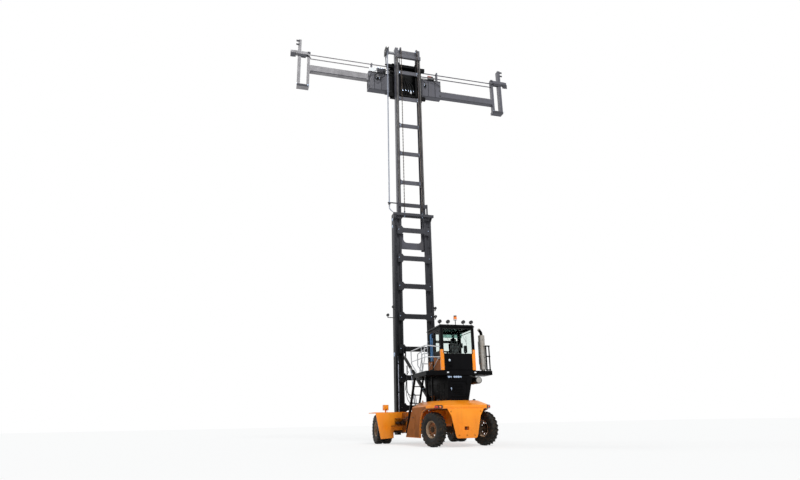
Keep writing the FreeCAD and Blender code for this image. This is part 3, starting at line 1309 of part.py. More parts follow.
def tilt_lugs():
    """Ears on the mast for the tilt rods' eyes."""
    foot, eye = tilt_points()
    plates = [box(f"tilt_lug_{name}", (low, low + 20), (beam_rear, eye[1] + 80), (eye[2] - 100, eye[2] + 440))
              for name, low in (("in", d.tilt_place - 65), ("out", d.tilt_place + 45))]
    pin = rod("tilt_lug_pin", "x", d.tilt_place - 64, d.tilt_place + 64, (eye[1], eye[2]),
              d.tilt_eye_pin_radius)
    return both_sides("tilt_lug_pair", fuse("tilt_lug_left", plates + [pin]))


sub_part(tilt_barrels(), "tilt_barrels")
sub_part(tilt_rods(), "tilt_rods")
sub_part(tilt_lugs(), "tilt_lugs")


# ---------------------------------------------------------------- carriage and shift frame

guide_rear = back(d.guide_rear)
guide_front = guide_rear - d.guide_depth


def carriage():
    """Side plates with rollers in the inner mast, and the two guide bars they carry."""
    plate = box("carriage_plate", (d.carriage_inside, d.carriage_inside + d.carriage_plate),
                (guide_rear - 1, back(d.carriage_rear)), (carriage_foot, carriage_top))
    middle = (inner_rear + inner_front) / 2
    radius = d.inner_depth / 2 - d.inner_flange - d.pin_fit
    rollers = []
    for index, level in enumerate((carriage_foot + 350, carriage_top - 350)):
        rollers.append(rod(f"carriage_roller_{index}", "x", d.inner_inside + 10,
                           inner_outside - d.inner_web - 8, (middle, level), radius))
        rollers.append(rod(f"carriage_shaft_{index}", "x", d.carriage_inside + d.carriage_plate - 1,
                           d.inner_inside + 11, (middle, level), d.roller_shaft))
    side = fuse("carriage_side", [plate] + rollers)
    bars = [box(f"guide_{name}", (-d.guide_half, d.guide_half), (guide_front, guide_rear),
                (low, low + d.guide_height))
            for name, low in (("low", carriage_foot), ("high", carriage_top - d.guide_height))]
    ties = [box(f"carriage_tie_{name}", (-d.carriage_inside - 1, d.carriage_inside + 1),
                (guide_rear - 1, guide_rear + 120), (low, low + 160))
            for name, low in (("low", carriage_foot + 20), ("high", carriage_top - 180))]
    return fuse("carriage_body", [side, mirrored("carriage_side_right", side)] + bars + ties)


def shift_frame():
    """Plate that slides on the guide bars and carries the slope pin."""
    rear = guide_front - d.shift_gap
    front = rear - d.shift_plate
    low = carriage_foot - 60
    high = carriage_top + 70
    plate = box("shift_plate", (-d.shift_half, d.shift_half), (front, rear), (low, high))
    hook_high = box("shift_hook_high", (-d.shift_half + 100, d.shift_half - 100),
                    (rear - 1, guide_rear - 20), (carriage_top + d.shift_gap, high))
    hook_low = box("shift_hook_low", (-d.shift_half + 100, d.shift_half - 100),
                   (rear - 1, guide_rear - 20), (low, carriage_foot - d.shift_gap))
    pin = rod("slope_pin", "y", back(d.spreader_rear) - d.slope_pin_seat, rear, (0, slope_pin_height),
              d.slope_pin_radius)
    return fuse("shift_body", [plate, hook_high, hook_low, pin])


sub_part(carriage(), "carriage_frame")
sub_part(shift_frame(), "shift_frame")


# ---------------------------------------------------------------- spreader

spreader_rear = back(d.spreader_rear)
spreader_front = spreader_rear - d.spreader_depth
arm_rear = spreader_rear - (d.spreader_depth - d.arm_depth) / 2
arm_front = arm_rear - d.arm_depth
left_stay_y = spreader_rear - 60
right_stay_y = spreader_rear - 170


def spreader_centre():
    """Housing with one tunnel for each telescopic arm, stay guides and the valve box on top."""
    shell = box("centre_block", (-d.spreader_half, d.spreader_half), (spreader_front, spreader_rear),
                (spreader_bottom, spreader_top))
    holes = []
    fit = d.arm_fit
    for name, low in (("left", spreader_bottom + d.left_arm_rise),
                      ("right", spreader_bottom + d.right_arm_rise)):
        holes.append(box(f"tunnel_{name}", (-d.spreader_half - 1, d.spreader_half + 1),
                         (arm_front - fit, arm_rear + fit), (low - d.pad_gap, low + d.arm_height + fit)))
    holes.append(rod("slope_bore", "y", arm_rear + fit - 1, spreader_rear + 1,
                     (0, slope_pin_height), d.slope_pin_radius + d.pin_fit))
    housing = cut("centre_housing", shell, fuse("tunnels", holes))
    guides = []
    for index, place in enumerate((-1950, -900, 900, 1950)):
        post = box(f"stay_guide_{index}", (place - 35, place + 35), (right_stay_y - 60, left_stay_y + 50),
                   (spreader_top - 1, stay_high + 70))
        eyes = [rod(f"stay_eye_{index}_{turn}", "x", place - 36, place + 36, spot, d.stay_radius + 4)
                for turn, spot in enumerate([(y, z) for y in (left_stay_y, right_stay_y)
                                             for z in (stay_low, stay_high)])]
        guides.append(cut(f"stay_guide_{index}_bored", post, fuse(f"stay_eyes_{index}", eyes)))
    valve_box = box("valve_box", (1150, 1650), (spreader_rear - 25, spreader_rear + 90),
                    (spreader_top - 1, spreader_top + 260))
    return fuse("centre_body", [housing, valve_box] + guides)


def spreader_arm(name, side, low, stay_y):
    """Telescopic beam with its end frame, corner lock, hook and the two stays above it."""
    beam = box(f"{name}_beam", (d.arm_root, arm_tip + 1), (arm_front, arm_rear),
               (low, low + d.arm_height))
    post = d.end_post
    outer = arm_tip + d.end_frame_width
    stub_top = end_top + d.stub_height
    hook_tip = outer + post + 30 + d.hook_length
    inner_post = box(f"{name}_inner_post", (arm_tip, arm_tip + post), (arm_front, arm_rear),
                     (end_bottom, end_top))
    outer_post = box(f"{name}_outer_post", (outer, outer + post + 30), (arm_front - 40, arm_rear),
                     (end_bottom, stub_top))
    foot = box(f"{name}_foot", (arm_tip, outer + post + 30), (spreader_front - 40, arm_rear),
               (end_bottom, end_bottom + 150))
    head = box(f"{name}_head", (arm_tip, hook_tip - 180), (arm_front, arm_rear),
               (lock_height - 110, lock_height + 60))
    hook = box(f"{name}_hook", (hook_tip - 181, hook_tip), (arm_front - 20, arm_rear - 60),
               (lock_height - 200, lock_height + 90))
    lock_block = box(f"{name}_lock_block", (d.lock_span - 90, d.lock_span + 90),
                     (spreader_front - 40, arm_front + 1), (lock_height - 80, lock_height + 80))
    lock = rod(f"{name}_lock", "y", back(0) - d.front_reach, spreader_front - 39,
               (d.lock_span, lock_height), d.lock_radius)
    stays = [rod(f"{name}_stay_{index}", "x", d.stay_root, arm_tip + 1, (stay_y, level), d.stay_radius)
             for index, level in enumerate((stay_low, stay_high))]
    body = fuse(f"{name}_body",
                [beam, inner_post, outer_post, foot, head, hook, lock_block, lock] + stays)
    return body if side > 0 else mirrored(f"{name}_mirrored", body)


sub_part(spreader_centre(), "spreader_centre")
sub_part(spreader_arm("arm_left", 1, spreader_bottom + d.left_arm_rise, left_stay_y),
         "spreader_arm_left")
sub_part(spreader_arm("arm_right", -1, spreader_bottom + d.right_arm_rise, right_stay_y),
         "spreader_arm_right")


# ---------------------------------------------------------------- write the sub-parts

document.recompute()
for item in document.Objects:
    if "Invalid" in item.State or "Error" in item.State:
        raise RuntimeError(f"{item.Label} failed: {item.State}")

os.makedirs("parts", exist_ok=True)
for item in sub_parts:
    shape = item.Shape
    if shape.isNull() or not shape.isValid():
        raise RuntimeError(f"{item.Label} has no valid shape")
    shape.exportStep(f"parts/{item.Label}.step")
print(f"{len(sub_parts)} sub-parts written")
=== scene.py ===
import json
import math

import bmesh
import bpy
from mathutils import Matrix, Vector


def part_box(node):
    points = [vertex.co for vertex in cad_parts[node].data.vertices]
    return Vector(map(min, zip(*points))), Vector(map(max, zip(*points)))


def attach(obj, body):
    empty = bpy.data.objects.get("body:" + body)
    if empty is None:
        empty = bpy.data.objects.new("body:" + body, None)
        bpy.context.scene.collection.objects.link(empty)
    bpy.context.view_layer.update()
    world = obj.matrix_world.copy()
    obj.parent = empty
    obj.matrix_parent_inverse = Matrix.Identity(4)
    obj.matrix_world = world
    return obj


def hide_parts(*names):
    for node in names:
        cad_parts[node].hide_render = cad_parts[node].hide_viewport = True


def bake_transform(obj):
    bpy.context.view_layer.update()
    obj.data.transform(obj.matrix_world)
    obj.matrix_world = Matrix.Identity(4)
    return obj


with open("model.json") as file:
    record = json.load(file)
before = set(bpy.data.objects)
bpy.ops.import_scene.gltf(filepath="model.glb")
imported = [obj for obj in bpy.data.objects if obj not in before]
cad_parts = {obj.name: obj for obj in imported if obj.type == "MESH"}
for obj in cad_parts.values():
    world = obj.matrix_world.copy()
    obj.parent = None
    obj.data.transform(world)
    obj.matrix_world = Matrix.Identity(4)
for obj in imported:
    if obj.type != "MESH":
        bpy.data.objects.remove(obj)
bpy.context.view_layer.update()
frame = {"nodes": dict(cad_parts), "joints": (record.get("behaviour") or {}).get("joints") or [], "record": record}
joints = {joint["name"]: joint for joint in frame["joints"]}
leftward, forward, rearward, skyward = (1, 0, 0), (0, -1, 0), (0, 1, 0), (0, 0, 1)
sides = ((1, "left"), (-1, "right"))
degrees = {"sharp": 38, "copiedSharp": 32, "eased": 35, "flat": 2}  # angles between faces
print("frame loaded")


# Working tools

def linearColour(hexText):  # sRGB hex to the linear RGBA that Blender's sockets take
    parts = [int(hexText[i:i + 2], 16) / 255 for i in (1, 3, 5)]
    return [p / 12.92 if p <= 0.04045 else ((p + 0.055) / 1.055) ** 2.4 for p in parts] + [1.0]


def addNode(tree, kind, values=None, links=None, **settings):
    node = tree.nodes.new("ShaderNode" + kind)
    for name, value in settings.items():
        setattr(node, name, value)
    for socket, value in (values or {}).items():
        node.inputs[socket].default_value = value
    for socket, (source, output) in (links or {}).items():
        tree.links.new(source.outputs[output], node.inputs[socket])
    return node


def startTree(owner):
    owner.use_nodes = True
    owner.node_tree.nodes.clear()
    return owner.node_tree


def patternScale(millimetres):  # object coordinates are metres, so one repeat is that long
    return 1000 / millimetres


def newShape():
    return {"points": [], "faces": [], "paints": [], "smooth": []}


def addFaces(shape, points, faces, paint=0, smooth=False):
    first = len(shape["points"])
    shape["points"].extend(tuple(point) for point in points)
    shape["faces"].extend([first + i for i in face] for face in faces)
    shape["paints"].extend([paint] * len(faces))
    shape["smooth"].extend([smooth] * len(faces))


def ringFaces(rings, count):  # quads that join rings of equally many points
    return [[k * count + i, k * count + (i + 1) % count, (k + 1) * count + (i + 1) % count, (k + 1) * count + i]
            for k in range(rings - 1) for i in range(count)]


def addBlock(shape, low, high, edge=0.004, paint=0, turn=None):  # block with chamfered edges
    middle = (Vector(low) + Vector(high)) / 2
    half = [abs(b - a) / 2 for a, b in zip(low, high)]
    edge = min(edge, min(half) * 0.8)
    signs = [(x, y, z) for x in (-1, 1) for y in (-1, 1) for z in (-1, 1)]
    points, number = [], {}
    for sign in signs:
        for axis in range(3):
            number[sign, axis] = len(points)
            offset = Vector([sign[i] * (half[i] - (0 if i == axis else edge)) for i in range(3)])
            points.append(middle + (turn @ offset if turn else offset))
    faces = []
    for axis in range(3):
        one, two = [i for i in range(3) if i != axis]

        def corner(way, a, b):
            sign = [0, 0, 0]
            sign[axis], sign[one], sign[two] = way, a, b
            return tuple(sign)

        for way in (-1, 1):
            faces.append([number[corner(way, a, b), axis] for a, b in ((-1, -1), (1, -1), (1, 1), (-1, 1))])
        for a in (-1, 1):
            for b in (-1, 1):
                back, front = corner(-1, a, b), corner(1, a, b)
                faces.append([number[back, one], number[front, one], number[front, two], number[back, two]])
    faces.extend([number[sign, 0], number[sign, 1], number[sign, 2]] for sign in signs)
    addFaces(shape, points, faces, paint)


def addBlocks(shape, rows, edge, paint=0, turn=None):  # rows of (low, high)
    for low, high in rows:
        addBlock(shape, low, high, edge, paint, turn)


def turnTo(direction):  # rotation that takes the X axis to a direction
    return Vector(leftward).rotation_difference(Vector(direction).normalized()).to_matrix()


def turnedPoint(centre, turn, along, radius, angle):
    return centre + turn @ Vector((along, radius * math.cos(angle), radius * math.sin(angle)))


def addTurned(shape, profile, centre, direction, segments=32, paint=0, smooth=True):
    turn, centre = turnTo(direction), Vector(centre)  # profile is (along, radius), first to last
    points, rings = [], []
    for along, radius in profile:
        count = segments if radius >= 1e-6 else 1
        rings.append(list(range(len(points), len(points) + count)))
        points += [turnedPoint(centre, turn, along, radius if count > 1 else 0, 2 * math.pi * i / segments)
                   for i in range(count)]
    faces = []
    for one, two in zip(rings, rings[1:]):
        for i in range(segments):
            j = (i + 1) % segments
            if len(one) == 1 and len(two) > 1:
                faces.append([one[0], two[j], two[i]])
            elif len(two) == 1 and len(one) > 1:
                faces.append([one[i], one[j], two[0]])
            elif len(one) > 1:
                faces.append([one[i], one[j], two[j], two[i]])
    addFaces(shape, points, faces, paint, smooth)


def addBand(shape, centre, direction, half, inner, outer, segments, paint=0):  # flat ring round an axis
    profile = [(-half, inner), (-half, outer), (half, outer), (half, inner)]
    addTurned(shape, profile, centre, direction, segments, paint)


def addRod(shape, start, end, radius, sides, edge=0.002, paint=0):  # bar with chamfered ends
    start, end = Vector(start), Vector(end)
    length = (end - start).length
    edge = min(edge, radius * 0.4, length * 0.3)
    profile = [(0, 0), (0, radius - edge), (edge, radius), (length - edge, radius),
               (length, radius - edge), (length, 0)]
    addTurned(shape, profile, start, end - start, sides, paint)


def cornerArc(before, corner, after, bend, steps):  # never takes up a whole side
    reach = min(bend, (corner - before).length * 0.45, (after - corner).length * 0.45)
    first = corner + (before - corner).normalized() * reach
    last = corner + (after - corner).normalized() * reach
    return [first * (1 - t) ** 2 + corner * 2 * t * (1 - t) + last * t * t
            for t in (i / steps for i in range(steps + 1))]


def bentPath(points, bend, steps):  # a pipe's line with an arc at each corner
    spots = [Vector(point) for point in points]
    path = [spots[0]]
    for before, corner, after in zip(spots, spots[1:], spots[2:]):
        path += cornerArc(before, corner, after, bend, steps)
    return path + [spots[-1]]


def roundOutline(outline, radius, steps=4):  # the outline with its corners rounded
    spots = [Vector(corner) for corner in outline]
    rounded = []
    for i, corner in enumerate(spots):
        rounded += cornerArc(spots[i - 1], corner, spots[(i + 1) % len(spots)], radius, steps)
    return [tuple(point) for point in rounded]


def box4(low, high):  # corners of a rectangle between two of its corners
    (u0, v0), (u1, v1) = low, high
    return [(u0, v0), (u1, v0), (u1, v1), (u0, v1)]


def addTube(shape, path, radius, sides=10, paint=0):
    path = [Vector(point) for point in path]
    tangents = [(path[min(i + 1, len(path) - 1)] - path[max(i - 1, 0)]).normalized() for i in range(len(path))]
    side = tangents[0].orthogonal().normalized()
    points = []
    for place, along in zip(path, tangents):
        side = (side - along * side.dot(along)).normalized()
        other = along.cross(side)
        for k in range(sides):
            angle = 2 * math.pi * k / sides
            points.append(place + (side * math.cos(angle) + other * math.sin(angle)) * radius)
    faces = ringFaces(len(path), sides)
    faces += [list(range(sides)), [len(points) - sides + k for k in range(sides)]]
    addFaces(shape, points, faces, paint, True)


def addPipe(shape, points, bend, steps, radius, sides, paint):
    addTube(shape, bentPath(points, bend, steps), radius, sides, paint)


def insetOutline(outline, distance):  # closed outline moved inwards by a mitred offset
    area = sum(a[0] * b[1] - b[0] * a[1] for a, b in zip(outline, outline[1:] + outline[:1]))
    way = 1 if area > 0 else -1
    moved = []
    for i, corner in enumerate(outline):
        before, after = Vector(outline[i - 1]), Vector(outline[(i + 1) % len(outline)])
        here = Vector(corner)
        into, out = (here - before).normalized(), (after - here).normalized()
        first = Vector((-into.y, into.x)) * way
        second = Vector((-out.y, out.x)) * way
        middle = (first + second).normalized()
        moved.append(here + middle * distance / max(0.35, middle.dot(first)))
    return moved


def addPlate(shape, outline, axis, low, high, edge=0.003, paint=0):
    low, high = sorted((low, high))  # the outline runs through the two axes other than axis
    inner = insetOutline(outline, edge)
    order = {"x": (2, 0, 1), "y": (0, 2, 1), "z": (0, 1, 2)}[axis]
    points = []
    for ring, level in ((inner, low), (outline, low + edge), (outline, high - edge), (inner, high)):
        points += [[(u, v, level)[i] for i in order] for u, v in ring]
    count = len(outline)
    faces = ringFaces(4, count) + [list(range(count)), [3 * count + i for i in range(count)]]
    addFaces(shape, points, faces, paint)


def addBolt(shape, place, direction, size=0.012, paint=0):  # hex head on its washer
    addTurned(shape, [(0, size * 1.5), (size * 0.2, size * 1.5), (size * 0.2, 0)], place, direction, 14, paint)
    addTurned(shape, [(size * 0.2, size), (size * 0.8, size), (size, size * 0.8), (size, 0)],
              place, direction, 6, paint, False)


def finishPiece(name, shape, materials, body, replaces=()):
    mesh = bpy.data.meshes.new(name)
    mesh.from_pydata(shape["points"], [], shape["faces"])
    for material in materials:
        mesh.materials.append(finishes[material])
    mesh.polygons.foreach_set("material_index", shape["paints"])
    mesh.polygons.foreach_set("use_smooth", shape["smooth"])
    solid = bmesh.new()
    solid.from_mesh(mesh)
    bmesh.ops.recalc_face_normals(solid, faces=solid.faces)
    solid.to_mesh(mesh)
    solid.free()
    mesh.set_sharp_from_angle(angle=math.radians(degrees["sharp"]))
    piece = bpy.data.objects.new(name, mesh)
    bpy.context.scene.collection.objects.link(piece)
    if body:
        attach(piece, body)
    if replaces:
        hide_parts(*replaces)
    return piece


# Camera, light and floor

cameraSetup = {
    "place": (8.05, 23.23, 0.89), "yaw": 16.07, "pitch": 18.1, "roll": -1.10,  # degrees
    "lens": 25.074, "sensor": 36.0, "sight": 400,  # millimetres, millimetres, metres
}


def makeCamera(setup):
    yaw, pitch, roll = (math.radians(setup[name]) for name in ("yaw", "pitch", "roll"))
    level = Vector((-math.sin(yaw), -math.cos(yaw), 0))
    ahead = level * math.cos(pitch) + Vector((0, 0, math.sin(pitch)))
    right = Vector((-math.cos(yaw), math.sin(yaw), 0))
    up = right.cross(ahead)
    turnedRight = right * math.cos(roll) + up * math.sin(roll)
    turnedUp = up * math.cos(roll) - right * math.sin(roll)
    data = bpy.data.cameras.new("camera")
    data.sensor_width = setup["sensor"]
    data.lens = setup["lens"]
    data.clip_end = setup["sight"]
    camera = bpy.data.objects.new("camera", data)
    columns = Matrix((turnedRight, turnedUp, -ahead)).transposed()
    camera.matrix_world = Matrix.Translation(setup["place"]) @ columns.to_4x4()
    bpy.context.scene.collection.objects.link(camera)
    bpy.context.scene.camera = camera


makeCamera(cameraSetup)

stageSetup = {
    "floorHalf": 150.0, "floorColour": "#F4F4F2", "floorGlow": 0.6, "worldColour": "#E9EDF2", "worldLight": 0.5,
    "sunAngle": 22, "lamps": (("sun", 2.2, (48, 0, 184)), ("fill", 0.7, (60, 0, 40))),
}


def seenRays(tree):  # 1 for rays that show the surface itself, 0 for rays that only carry its light
    path = addNode(tree, "LightPath")
    seen, output = path, "Is Camera Ray"
    for ray in ("Is Glossy Ray", "Is Transmission Ray"):
        seen, output = addNode(tree, "Math", links={0: (seen, output), 1: (path, ray)}, operation="MAXIMUM"), 0
    return seen


def makeStage(setup):
    scene = bpy.context.scene
    scene.view_settings.view_transform = "Standard"
    scene.world = bpy.data.worlds.new("studio")
    tree = startTree(scene.world)
    lit = addNode(tree, "Background", {"Color": linearColour(setup["worldColour"]), "Strength": setup["worldLight"]})
    seen = addNode(tree, "Background", {"Color": (1, 1, 1, 1), "Strength": 1})
    mix = addNode(tree, "MixShader", links={0: (seenRays(tree), 0), 1: (lit, 0), 2: (seen, 0)})
    addNode(tree, "OutputWorld", links={0: (mix, 0)})
    for name, power, tilt in setup["lamps"]:
        data = bpy.data.lights.new(name, "SUN")
        data.energy = power
        data.angle = math.radians(setup["sunAngle"])
        lamp = bpy.data.objects.new(name, data)
        lamp.rotation_euler = [math.radians(angle) for angle in tilt]
        scene.collection.objects.link(lamp)

    material = bpy.data.materials.new("palePaintedFloor")
    tree = startTree(material)
    mat = addNode(tree, "BsdfDiffuse", {"Color": linearColour(setup["floorColour"])})
    white = addNode(tree, "Emission", {"Color": (1, 1, 1, 1), "Strength": 1})
    share = addNode(tree, "Math", {1: setup["floorGlow"]}, {0: (seenRays(tree), 0)}, operation="MULTIPLY")
    mixed = addNode(tree, "MixShader", links={0: (share, 0), 1: (mat, 0), 2: (white, 0)})
    addNode(tree, "OutputMaterial", links={0: (mixed, 0)})
    half = setup["floorHalf"]
    mesh = bpy.data.meshes.new("floor")
    mesh.from_pydata([(u, v, 0) for u, v in box4((-half, -half), (half, half))], [], [(0, 1, 2, 3)])
    mesh.materials.append(material)
    floor = bpy.data.objects.new("floor", mesh)
    scene.collection.objects.link(floor)


makeStage(stageSetup)
print("stage set")


# Finishes
# Each finish gives its shader's values, its colour, its roughness and its relief (height, strength, distance)

def addTones(tree, place, size, detail, spread, tones, roughSpread, grit=0.5):  # two tones mixed in patches
    patches = addNode(tree, "TexNoise", {"Scale": patternScale(size), "Detail": detail, "Roughness": grit},
                      {"Vector": (place, "Object")})
    if spread:
        patches = addNode(tree, "MapRange", dict(zip((1, 2, 3, 4), spread)), {0: (patches, 0)})
    colour = addNode(tree, "Mix", {6: linearColour(tones[0]), 7: linearColour(tones[1])}, {0: (patches, 0)},
                     data_type="RGBA")
    return colour, addNode(tree, "MapRange", dict(zip((1, 2, 3, 4), roughSpread)), {0: (patches, 0)})


def coatedFinish(tree, place, setup):  # sprayed paint with dust, streaks, chips and splashed soil, and painted light that makes it paler with height
    normal = addNode(tree, "NewGeometry")
    facing = addNode(tree, "SeparateXYZ", links={0: (normal, "Normal")})
    height = addNode(tree, "SeparateXYZ", links={0: (place, "Object")})
    stretched = addNode(tree, "Mapping", {"Scale": (1.0, 1.0, 0.09)}, {"Vector": (place, "Object")})
    noises = {}
    for name, detail, grit in (("drift", 6.0, 0.62), ("streak", 4.0, 0.5), ("chip", 8.0, 0.7), ("dust", 7.0, 0.5),
                               ("peel", 2.0, 0.5)):
        source = (stretched, 0) if name == "streak" else (place, "Object")
        noises[name] = addNode(tree, "TexNoise", {"Scale": patternScale(setup[name + "Mm"]), "Detail": detail,
                                                  "Roughness": grit}, {"Vector": source})
    masks, chips = {}, setup["chips"] * 0.1
    for name, source, spread in (
            ("drift", (noises["drift"], 0), (0.38, 0.64, 0.0, setup["drift"])),
            # painted light: the paint turns to a paler colour as the part rises, so the lower parts read as lying in
            # shade
            ("paintedLight", (height, "Z"), (setup["paintedLightFrom"], setup["paintedLightTo"], 0.0, setup["paintedLight"])),
            ("streak", (noises["streak"], 0), (0.55, 0.75, 0.0, setup["streaks"])),
            ("chip", (noises["chip"], 0), (0.72 - chips, 0.76 - chips, 0.0, 1.0)),
            ("upward", (facing, "Z"), (0.35, 0.95, 0.12, 1.0)),
            ("cover", (noises["dust"], 0), (0.35, 0.7, 0.0, setup["dust"])),
            ("low", (height, "Z"), (0.15, setup["soilTop"], 1.0, 0.0)),
            ("splash", (noises["dust"], 0), (0.3, 0.62, 0.0, setup["soil"]))):
        masks[name] = addNode(tree, "MapRange", dict(zip((1, 2, 3, 4), spread)), {0: source})
    for name, one, two, operation in (("dust", "upward", "cover", "MULTIPLY"), ("soil", "low", "splash", "MULTIPLY"),
                                      ("dull", "dust", "soil", "ADD")):
        masks[name] = addNode(tree, "Math", links={0: (masks[one], 0), 1: (masks[two], 0)}, operation=operation)
    colour = None
    for name, tint in (("drift", "faded"), ("paintedLight", "paintedLightColour"), ("streak", "streakColour"),
                       ("chip", "chipColour"), ("dust", "dustColour"), ("soil", "soilColour")):
        values, links = {7: linearColour(setup[tint])}, {0: (masks[name], 0)}
        if colour:
            links[6] = (colour, 2)
        else:
            values[6] = linearColour(setup["colour"])
        colour = addNode(tree, "Mix", values, links, data_type="RGBA")
    rough = addNode(tree, "MapRange", {1: 0.0, 2: 0.8, 3: setup["roughness"], 4: 0.85}, {0: (masks["dull"], 0)})
    relief = addNode(tree, "Math", {1: 0.6}, {0: (masks["chip"], 0)}, operation="MULTIPLY")
    skin = addNode(tree, "Math", links={0: (noises["peel"], 0), 1: (relief, 0)}, operation="SUBTRACT")
    values = {"Metallic": 0.0, "IOR": 1.5, "Coat Weight": setup["coat"], "Coat Roughness": 0.12,
              "Specular IOR Level": setup["shine"]}
    return values, colour, rough, (skin, setup["bump"], 0.004)


# Alkyd enamel sprayed on steel plate: orange, glossy when clean, paler where the sun has faded it,
# brown with soil near the ground and along its runs
orangeEnamel = {
    "colour": "#EC8410", "faded": "#F2941E", "driftMm": 900, "drift": 0.8, "streakMm": 130, "streaks": 0.25,
    "streakColour": "#B4640F", "chipMm": 55, "chips": 0.25, "chipColour": "#7A4716", "dustMm": 420,
    "dust": 0.22, "dustColour": "#FFC070", "soilTop": 1.1, "soil": 0.35, "soilColour": "#A8661C",
    "roughness": 0.3, "peelMm": 22, "bump": 0.05, "coat": 0.15, "shine": 0.3,
    "paintedLightFrom": 0.0, "paintedLightTo": 30.0, "paintedLight": 0.0, "paintedLightColour": "#FFB860",
}
# The same enamel on side faces out of the light: darkened to brown as painted shade, and matt, with the dust the
# wheels throw at it
shadedDustyOrange = dict(orangeEnamel, colour="#9A5414", faded="#7E4210", streaks=0.5, streakColour="#5E320C",
                   dust=0.4, dustColour="#B97A38", soilTop=1.7, soil=0.7, soilColour="#6E4218",
                   roughness=0.6, coat=0.0, shine=0.15)
# Black chassis enamel, brushed and sprayed over primer: deep, semi-gloss, with a thin film of dust
blackEnamel = {
    "colour": "#060607", "faded": "#0D0D0F", "driftMm": 700, "drift": 0.8, "streakMm": 90, "streaks": 0.15,
    "streakColour": "#1A1917", "chipMm": 45, "chips": 0.1, "chipColour": "#2B2622", "dustMm": 300,
    "dust": 0.05, "dustColour": "#3E3A34", "soilTop": 1.2, "soil": 0.3, "soilColour": "#3A3128",
    "roughness": 0.42, "peelMm": 18, "bump": 0.06, "coat": 0.0, "shine": 0.04,
    "paintedLightFrom": 0.0, "paintedLightTo": 30.0, "paintedLight": 0.0, "paintedLightColour": "#3A3A3C",
}
# The mast's black enamel, rubbed by grease: greyer and satin; painted light makes it paler from 3.6 m upwards, so its
# lower part stays dark as painted shade
mastEnamel = dict(blackEnamel, colour="#0A0A0B", faded="#151517", drift=1.0, streakColour="#0C0C0D",
                  streaks=0.45, dust=0.12, dustColour="#5E5A56", roughness=0.48, paintedLightFrom=3.6,
                  paintedLightTo=11.5, paintedLight=0.9, paintedLightColour="#48484D", shine=0.1)
# Grey machinery enamel on the inner mast and the spreader: satin, with rust at its chips; painted light makes it paler
# from 9 m upwards
greyEnamel = dict(blackEnamel, paintedLightFrom=9.0, paintedLightTo=20.5, paintedLight=0.6, paintedLightColour="#62626A",
                  shine=0.2, colour="#3C3C43", faded="#4C4C54", drift=1.0, streakMm=160, streaks=0.5,
                  streakColour="#4A4644", chips=0.5, chipColour="#5A4438", dust=0.35,
                  dustColour="#8C8984", roughness=0.52, coat=0.05, peelMm=25)
# Painted light: a paler copy of the grey enamel for the left spreader arm, lit twin of the right arm's darker grey
litCopyGreyEnamel = dict(greyEnamel, paintedLight=0.0, colour="#7C7A7D", faded="#979598", streakColour="#5E5A58")
redEnamel = dict(orangeEnamel, colour="#8E1F17", faded="#A5372B", streakColour="#4A1812", dust=0.2)
# Grey enamel on bent tube, worn smooth by hands
railEnamel = dict(greyEnamel, paintedLight=0.0, colour="#B4B5B8", faded="#CDCED0", streaks=0.25, streakColour="#8D8B88",
                  chips=0.35, dust=0.2, roughness=0.42, coat=0.1)
# Enamel on pressed wheel discs, sanded by grit: tan dust over brown
wheelEnamel = dict(orangeEnamel, colour="#8A4B1E", faded="#6B3414", drift=1.0, driftMm=160, chipMm=30,
                   chips=0.8, chipColour="#3A2517", dustMm=90, dust=0.7, dustColour="#C7A27E",
                   soilTop=1.4, soil=0.55, soilColour="#9A7A58", roughness=0.7, coat=0.0, bump=0.15)
rimDust = dict(wheelEnamel, colour="#8E7A66", faded="#6E5238", dustColour="#D8C4AC", dust=0.8,
               soilColour="#B79C7E")
# Sand-cast iron under thinned black paint: grainy and oily with packed soil
castIron = dict(blackEnamel, colour="#2A2420", faded="#43352A", chipMm=20, chips=0.7, chipColour="#4A3424",
                dust=0.5, soilTop=1.0, soil=0.7, soilColour="#4C3A28", roughness=0.6, peelMm=6, bump=0.25,
                coat=0.0)


def rubberFinish(tree, place, setup):  # vulcanised rubber, matt, with dust in its low places
    colour, rough = addTones(tree, place, setup["patchMm"], 7.0, (0.46, 0.72, 0.0, setup["dust"]),
                             (setup["colour"], setup["dustColour"]), (0, 1, setup["roughness"], 0.95), 0.65)
    grain = addNode(tree, "TexNoise", {"Scale": patternScale(setup["grainMm"]), "Detail": 4.0},
                    {"Vector": (place, "Object")})
    return {"IOR": 1.52, "Specular IOR Level": 0.25}, colour, rough, (grain, setup["bump"], 0.003)


# Moulded tyre rubber: black and matt, brown-grey where soil has dried in it
tyreRubber = {"colour": "#100F0D", "dustColour": "#4A3A28", "patchMm": 170, "dust": 0.7, "roughness": 0.72,
              "grainMm": 9, "bump": 0.3}
treadRubber = dict(tyreRubber, colour="#151412", dustColour="#3E382F", patchMm=90, dust=0.5)
# Extruded hose cover, rubbed pale by weather
hoseRubber = {"colour": "#8E93A0", "dustColour": "#C3C6CF", "patchMm": 240, "dust": 0.7, "roughness": 0.5,
              "grainMm": 6, "bump": 0.12}
blackHose = dict(hoseRubber, colour="#111214", dustColour="#35332F", dust=0.5)
sealRubber = dict(blackHose, colour="#0B0B0C", patchMm=60)


def metalFinish(tree, place, setup):  # bare metal with stains; the grain runs along the turned part
    colour, rough = addTones(tree, place, setup["stainMm"], 6.0, (0.42, 0.68, 0.0, setup["stains"]),
                             (setup["colour"], setup["stainColour"]),
                             (0, 1, setup["roughness"], setup["stainRoughness"]))
    lines = addNode(tree, "Mapping", {"Scale": (1.0, 1.0, setup["grainStretch"])}, {"Vector": (place, "Object")})
    grain = addNode(tree, "TexNoise", {"Scale": patternScale(setup["grainMm"]), "Detail": 3.0}, {"Vector": (lines, 0)})
    return {"Metallic": setup["metallic"]}, colour, rough, (grain, setup["bump"], 0.002)


